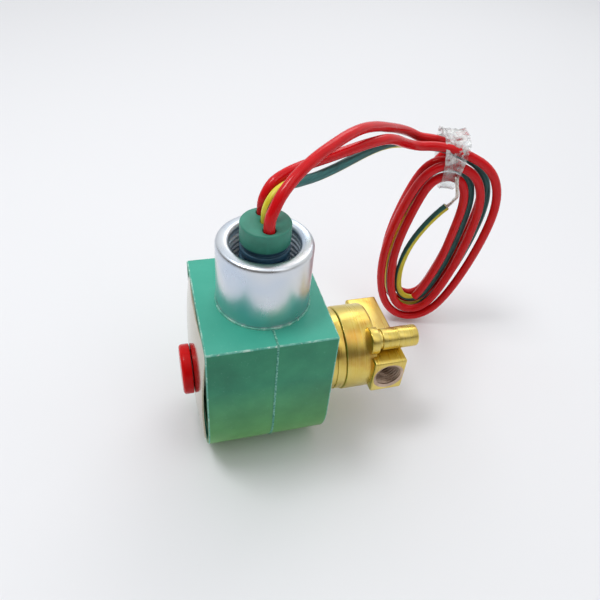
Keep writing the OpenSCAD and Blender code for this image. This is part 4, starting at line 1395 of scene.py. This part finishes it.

# %% [markdown]
# ## Dressing the pieces
# Each new piece gets its finishes and its body, and the CAD nodes that it stands for are hidden.
# The hidden CAD nodes keep their mesh and get a finish too.

# %% Pieces, bodies and finishes
dressing = [
    (coil, [epoxy, highlit_worn, seam], "coil", "green_epoxy", ["coil_housing"]),
    (plate, [bright], "coil", "plate_metal", ["nameplate"]),
    (hub, [zinc, dull_zinc], "coil", "zinc_steel", ["conduit_hub"]),
    (boot, [boot_green], "coil", "boot_green", ["lead_boot"]),
    (cap, [cap_red], "valve", "red_plastic", ["retaining_cap"]),
    (washer, [zinc], "valve", "zinc_steel", ["spring_washer"]),
    (bonnet, [brass], "valve", "brass", ["bonnet"]),
    (stub, [brass], "valve", "brass", ["end_stub"]),
    (body, [brass, tarnish], "valve", "brass", ["valve_body"]),
    (spring, [steel], "valve", "stainless", ["core_spring"]),
    (red_near, [lead_red], "coil", "lead_red", ["lead_red_near", "hank_red_near"]),
    (red_far, [lead_red], "coil", "lead_red", ["lead_red_far", "hank_red_far"]),
    (ground, [lead_green], "coil", "lead_green", ["lead_ground", "hank_ground"]),
    (strands, [tinned], "coil", "tinned_copper", ["ground_strands"]),
    (tape, [clear], "coil", "clear_tape", ["wire_tie"])]
for piece, finishes, ride_on, slot, stands_for in dressing:
    kept = [face.material_index for face in piece.data.polygons]
    piece.data.materials.clear()
    for material in finishes:
        piece.data.materials.append(material)
    for face, index in zip(piece.data.polygons, kept):
        face.material_index = min(index, len(finishes) - 1)
    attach(piece, ride_on)
    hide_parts(*stands_for)
print("dressed", len(dressing), "pieces")

# %% Hidden CAD nodes
hidden = {
    "core_tube": steel, "plugnut": steel, "core": steel, "shading_ring": copper, "core_disc": rubber,
    "body_gasket": rubber, "bobbin": bobbin_white, "winding": copper, "flux_sleeve": steel,
    "flux_plate_front": steel, "flux_plate_rear": steel}
for name, material in hidden.items():
    nodes[name].data.materials.clear()
    nodes[name].data.materials.append(material)
print("finished", len(hidden), "hidden nodes")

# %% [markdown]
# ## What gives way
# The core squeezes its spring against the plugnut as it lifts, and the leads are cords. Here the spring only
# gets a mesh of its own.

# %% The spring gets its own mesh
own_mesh(spring)

print("declared", len(leads), "leads")

# %% [markdown]
# ## Floor and light
# The photograph was taken on a pale sweep in very soft light. A large floor and a
# pale sky do the same. The sky is bright above and behind and dark on the camera's
# side, so the coil's near side is a deeper green than its top, and polished metal
# has something dark to reflect. The horizon stays pale all round, so that the other
# sides have a pale backdrop too. A narrow strip light draws the brass's highlight.

# %% Floor
floor_size = 8
pick_none()
bpy.ops.mesh.primitive_plane_add(size=floor_size, location=(0, 0, cad_box[0][2]))
floor = bpy.context.object
floor.name = "floor"
sweep_paper, _, _ = finish("pale_sweep", (0.83, 0.835, 0.86), 0.8, Specular_IOR_Level=0.1)
floor.data.materials.append(sweep_paper)
print("floor:", floor_size, "m wide")

# %% Sky
bright_side = Vector((0.30, 0.50, 0.81)).normalized()
horizon_colour = (0.80, 0.81, 0.83)
sky_strength = 0.95
sky = bpy.data.worlds.new("sky")
bpy.context.scene.world = sky
sky.use_nodes = True
tree = sky.node_tree
background = tree.nodes["Background"]
direction = tree.nodes.new("ShaderNodeTexCoord").outputs["Generated"]
towards_light = tree.nodes.new("ShaderNodeVectorMath")
towards_light.operation = "DOT_PRODUCT"
towards_light.inputs[1].default_value = bright_side
tree.links.new(direction, towards_light.inputs[0])
dome = ramp(tree, towards_light.outputs["Value"], [
    (0.0, (0.12, 0.105, 0.09)), (0.25, (0.25, 0.22, 0.19)),
    (0.50, (0.82, 0.83, 0.84)), (1.0, (0.96, 0.985, 1.0))])
horizon = ramp(tree, part_of(tree, direction, "Z"), [(0.14, 1.0), (0.26, 0.0)])
tree.links.new(blend_colours(tree, horizon, dome, horizon_colour), background.inputs["Color"])
background.inputs["Strength"].default_value = sky_strength
bpy.context.scene.view_settings.view_transform = "Standard"
print("sky strength:", sky_strength)

# %% Lights: place and target in metres, width and height, and power
lights = {
    "key": ((-0.25, 0.10, 0.65), (0, 0.02, 0.02), (0.20, 0.20), 1.6),
    "back": ((0.30, 0.50, 0.55), (0, 0.02, 0.02), (0.40, 0.40), 1.0),
    "strip": ((0.11, -0.195, 0.335), (-0.012, 0.016, 0), (0.12, 0.40), 0.13)}
for name, (place, target, size, power) in lights.items():
    light = bpy.data.lights.new(name, "AREA")
    light.shape = "RECTANGLE"
    light.size, light.size_y = size
    light.energy = power
    lamp = bpy.data.objects.new(name, light)
    bpy.context.scene.collection.objects.link(lamp)
    lamp.location = place
    lamp.rotation_euler = (Vector(target) - Vector(place)).to_track_quat("-Z", "Y").to_euler()
print("lights:", ", ".join(lights))
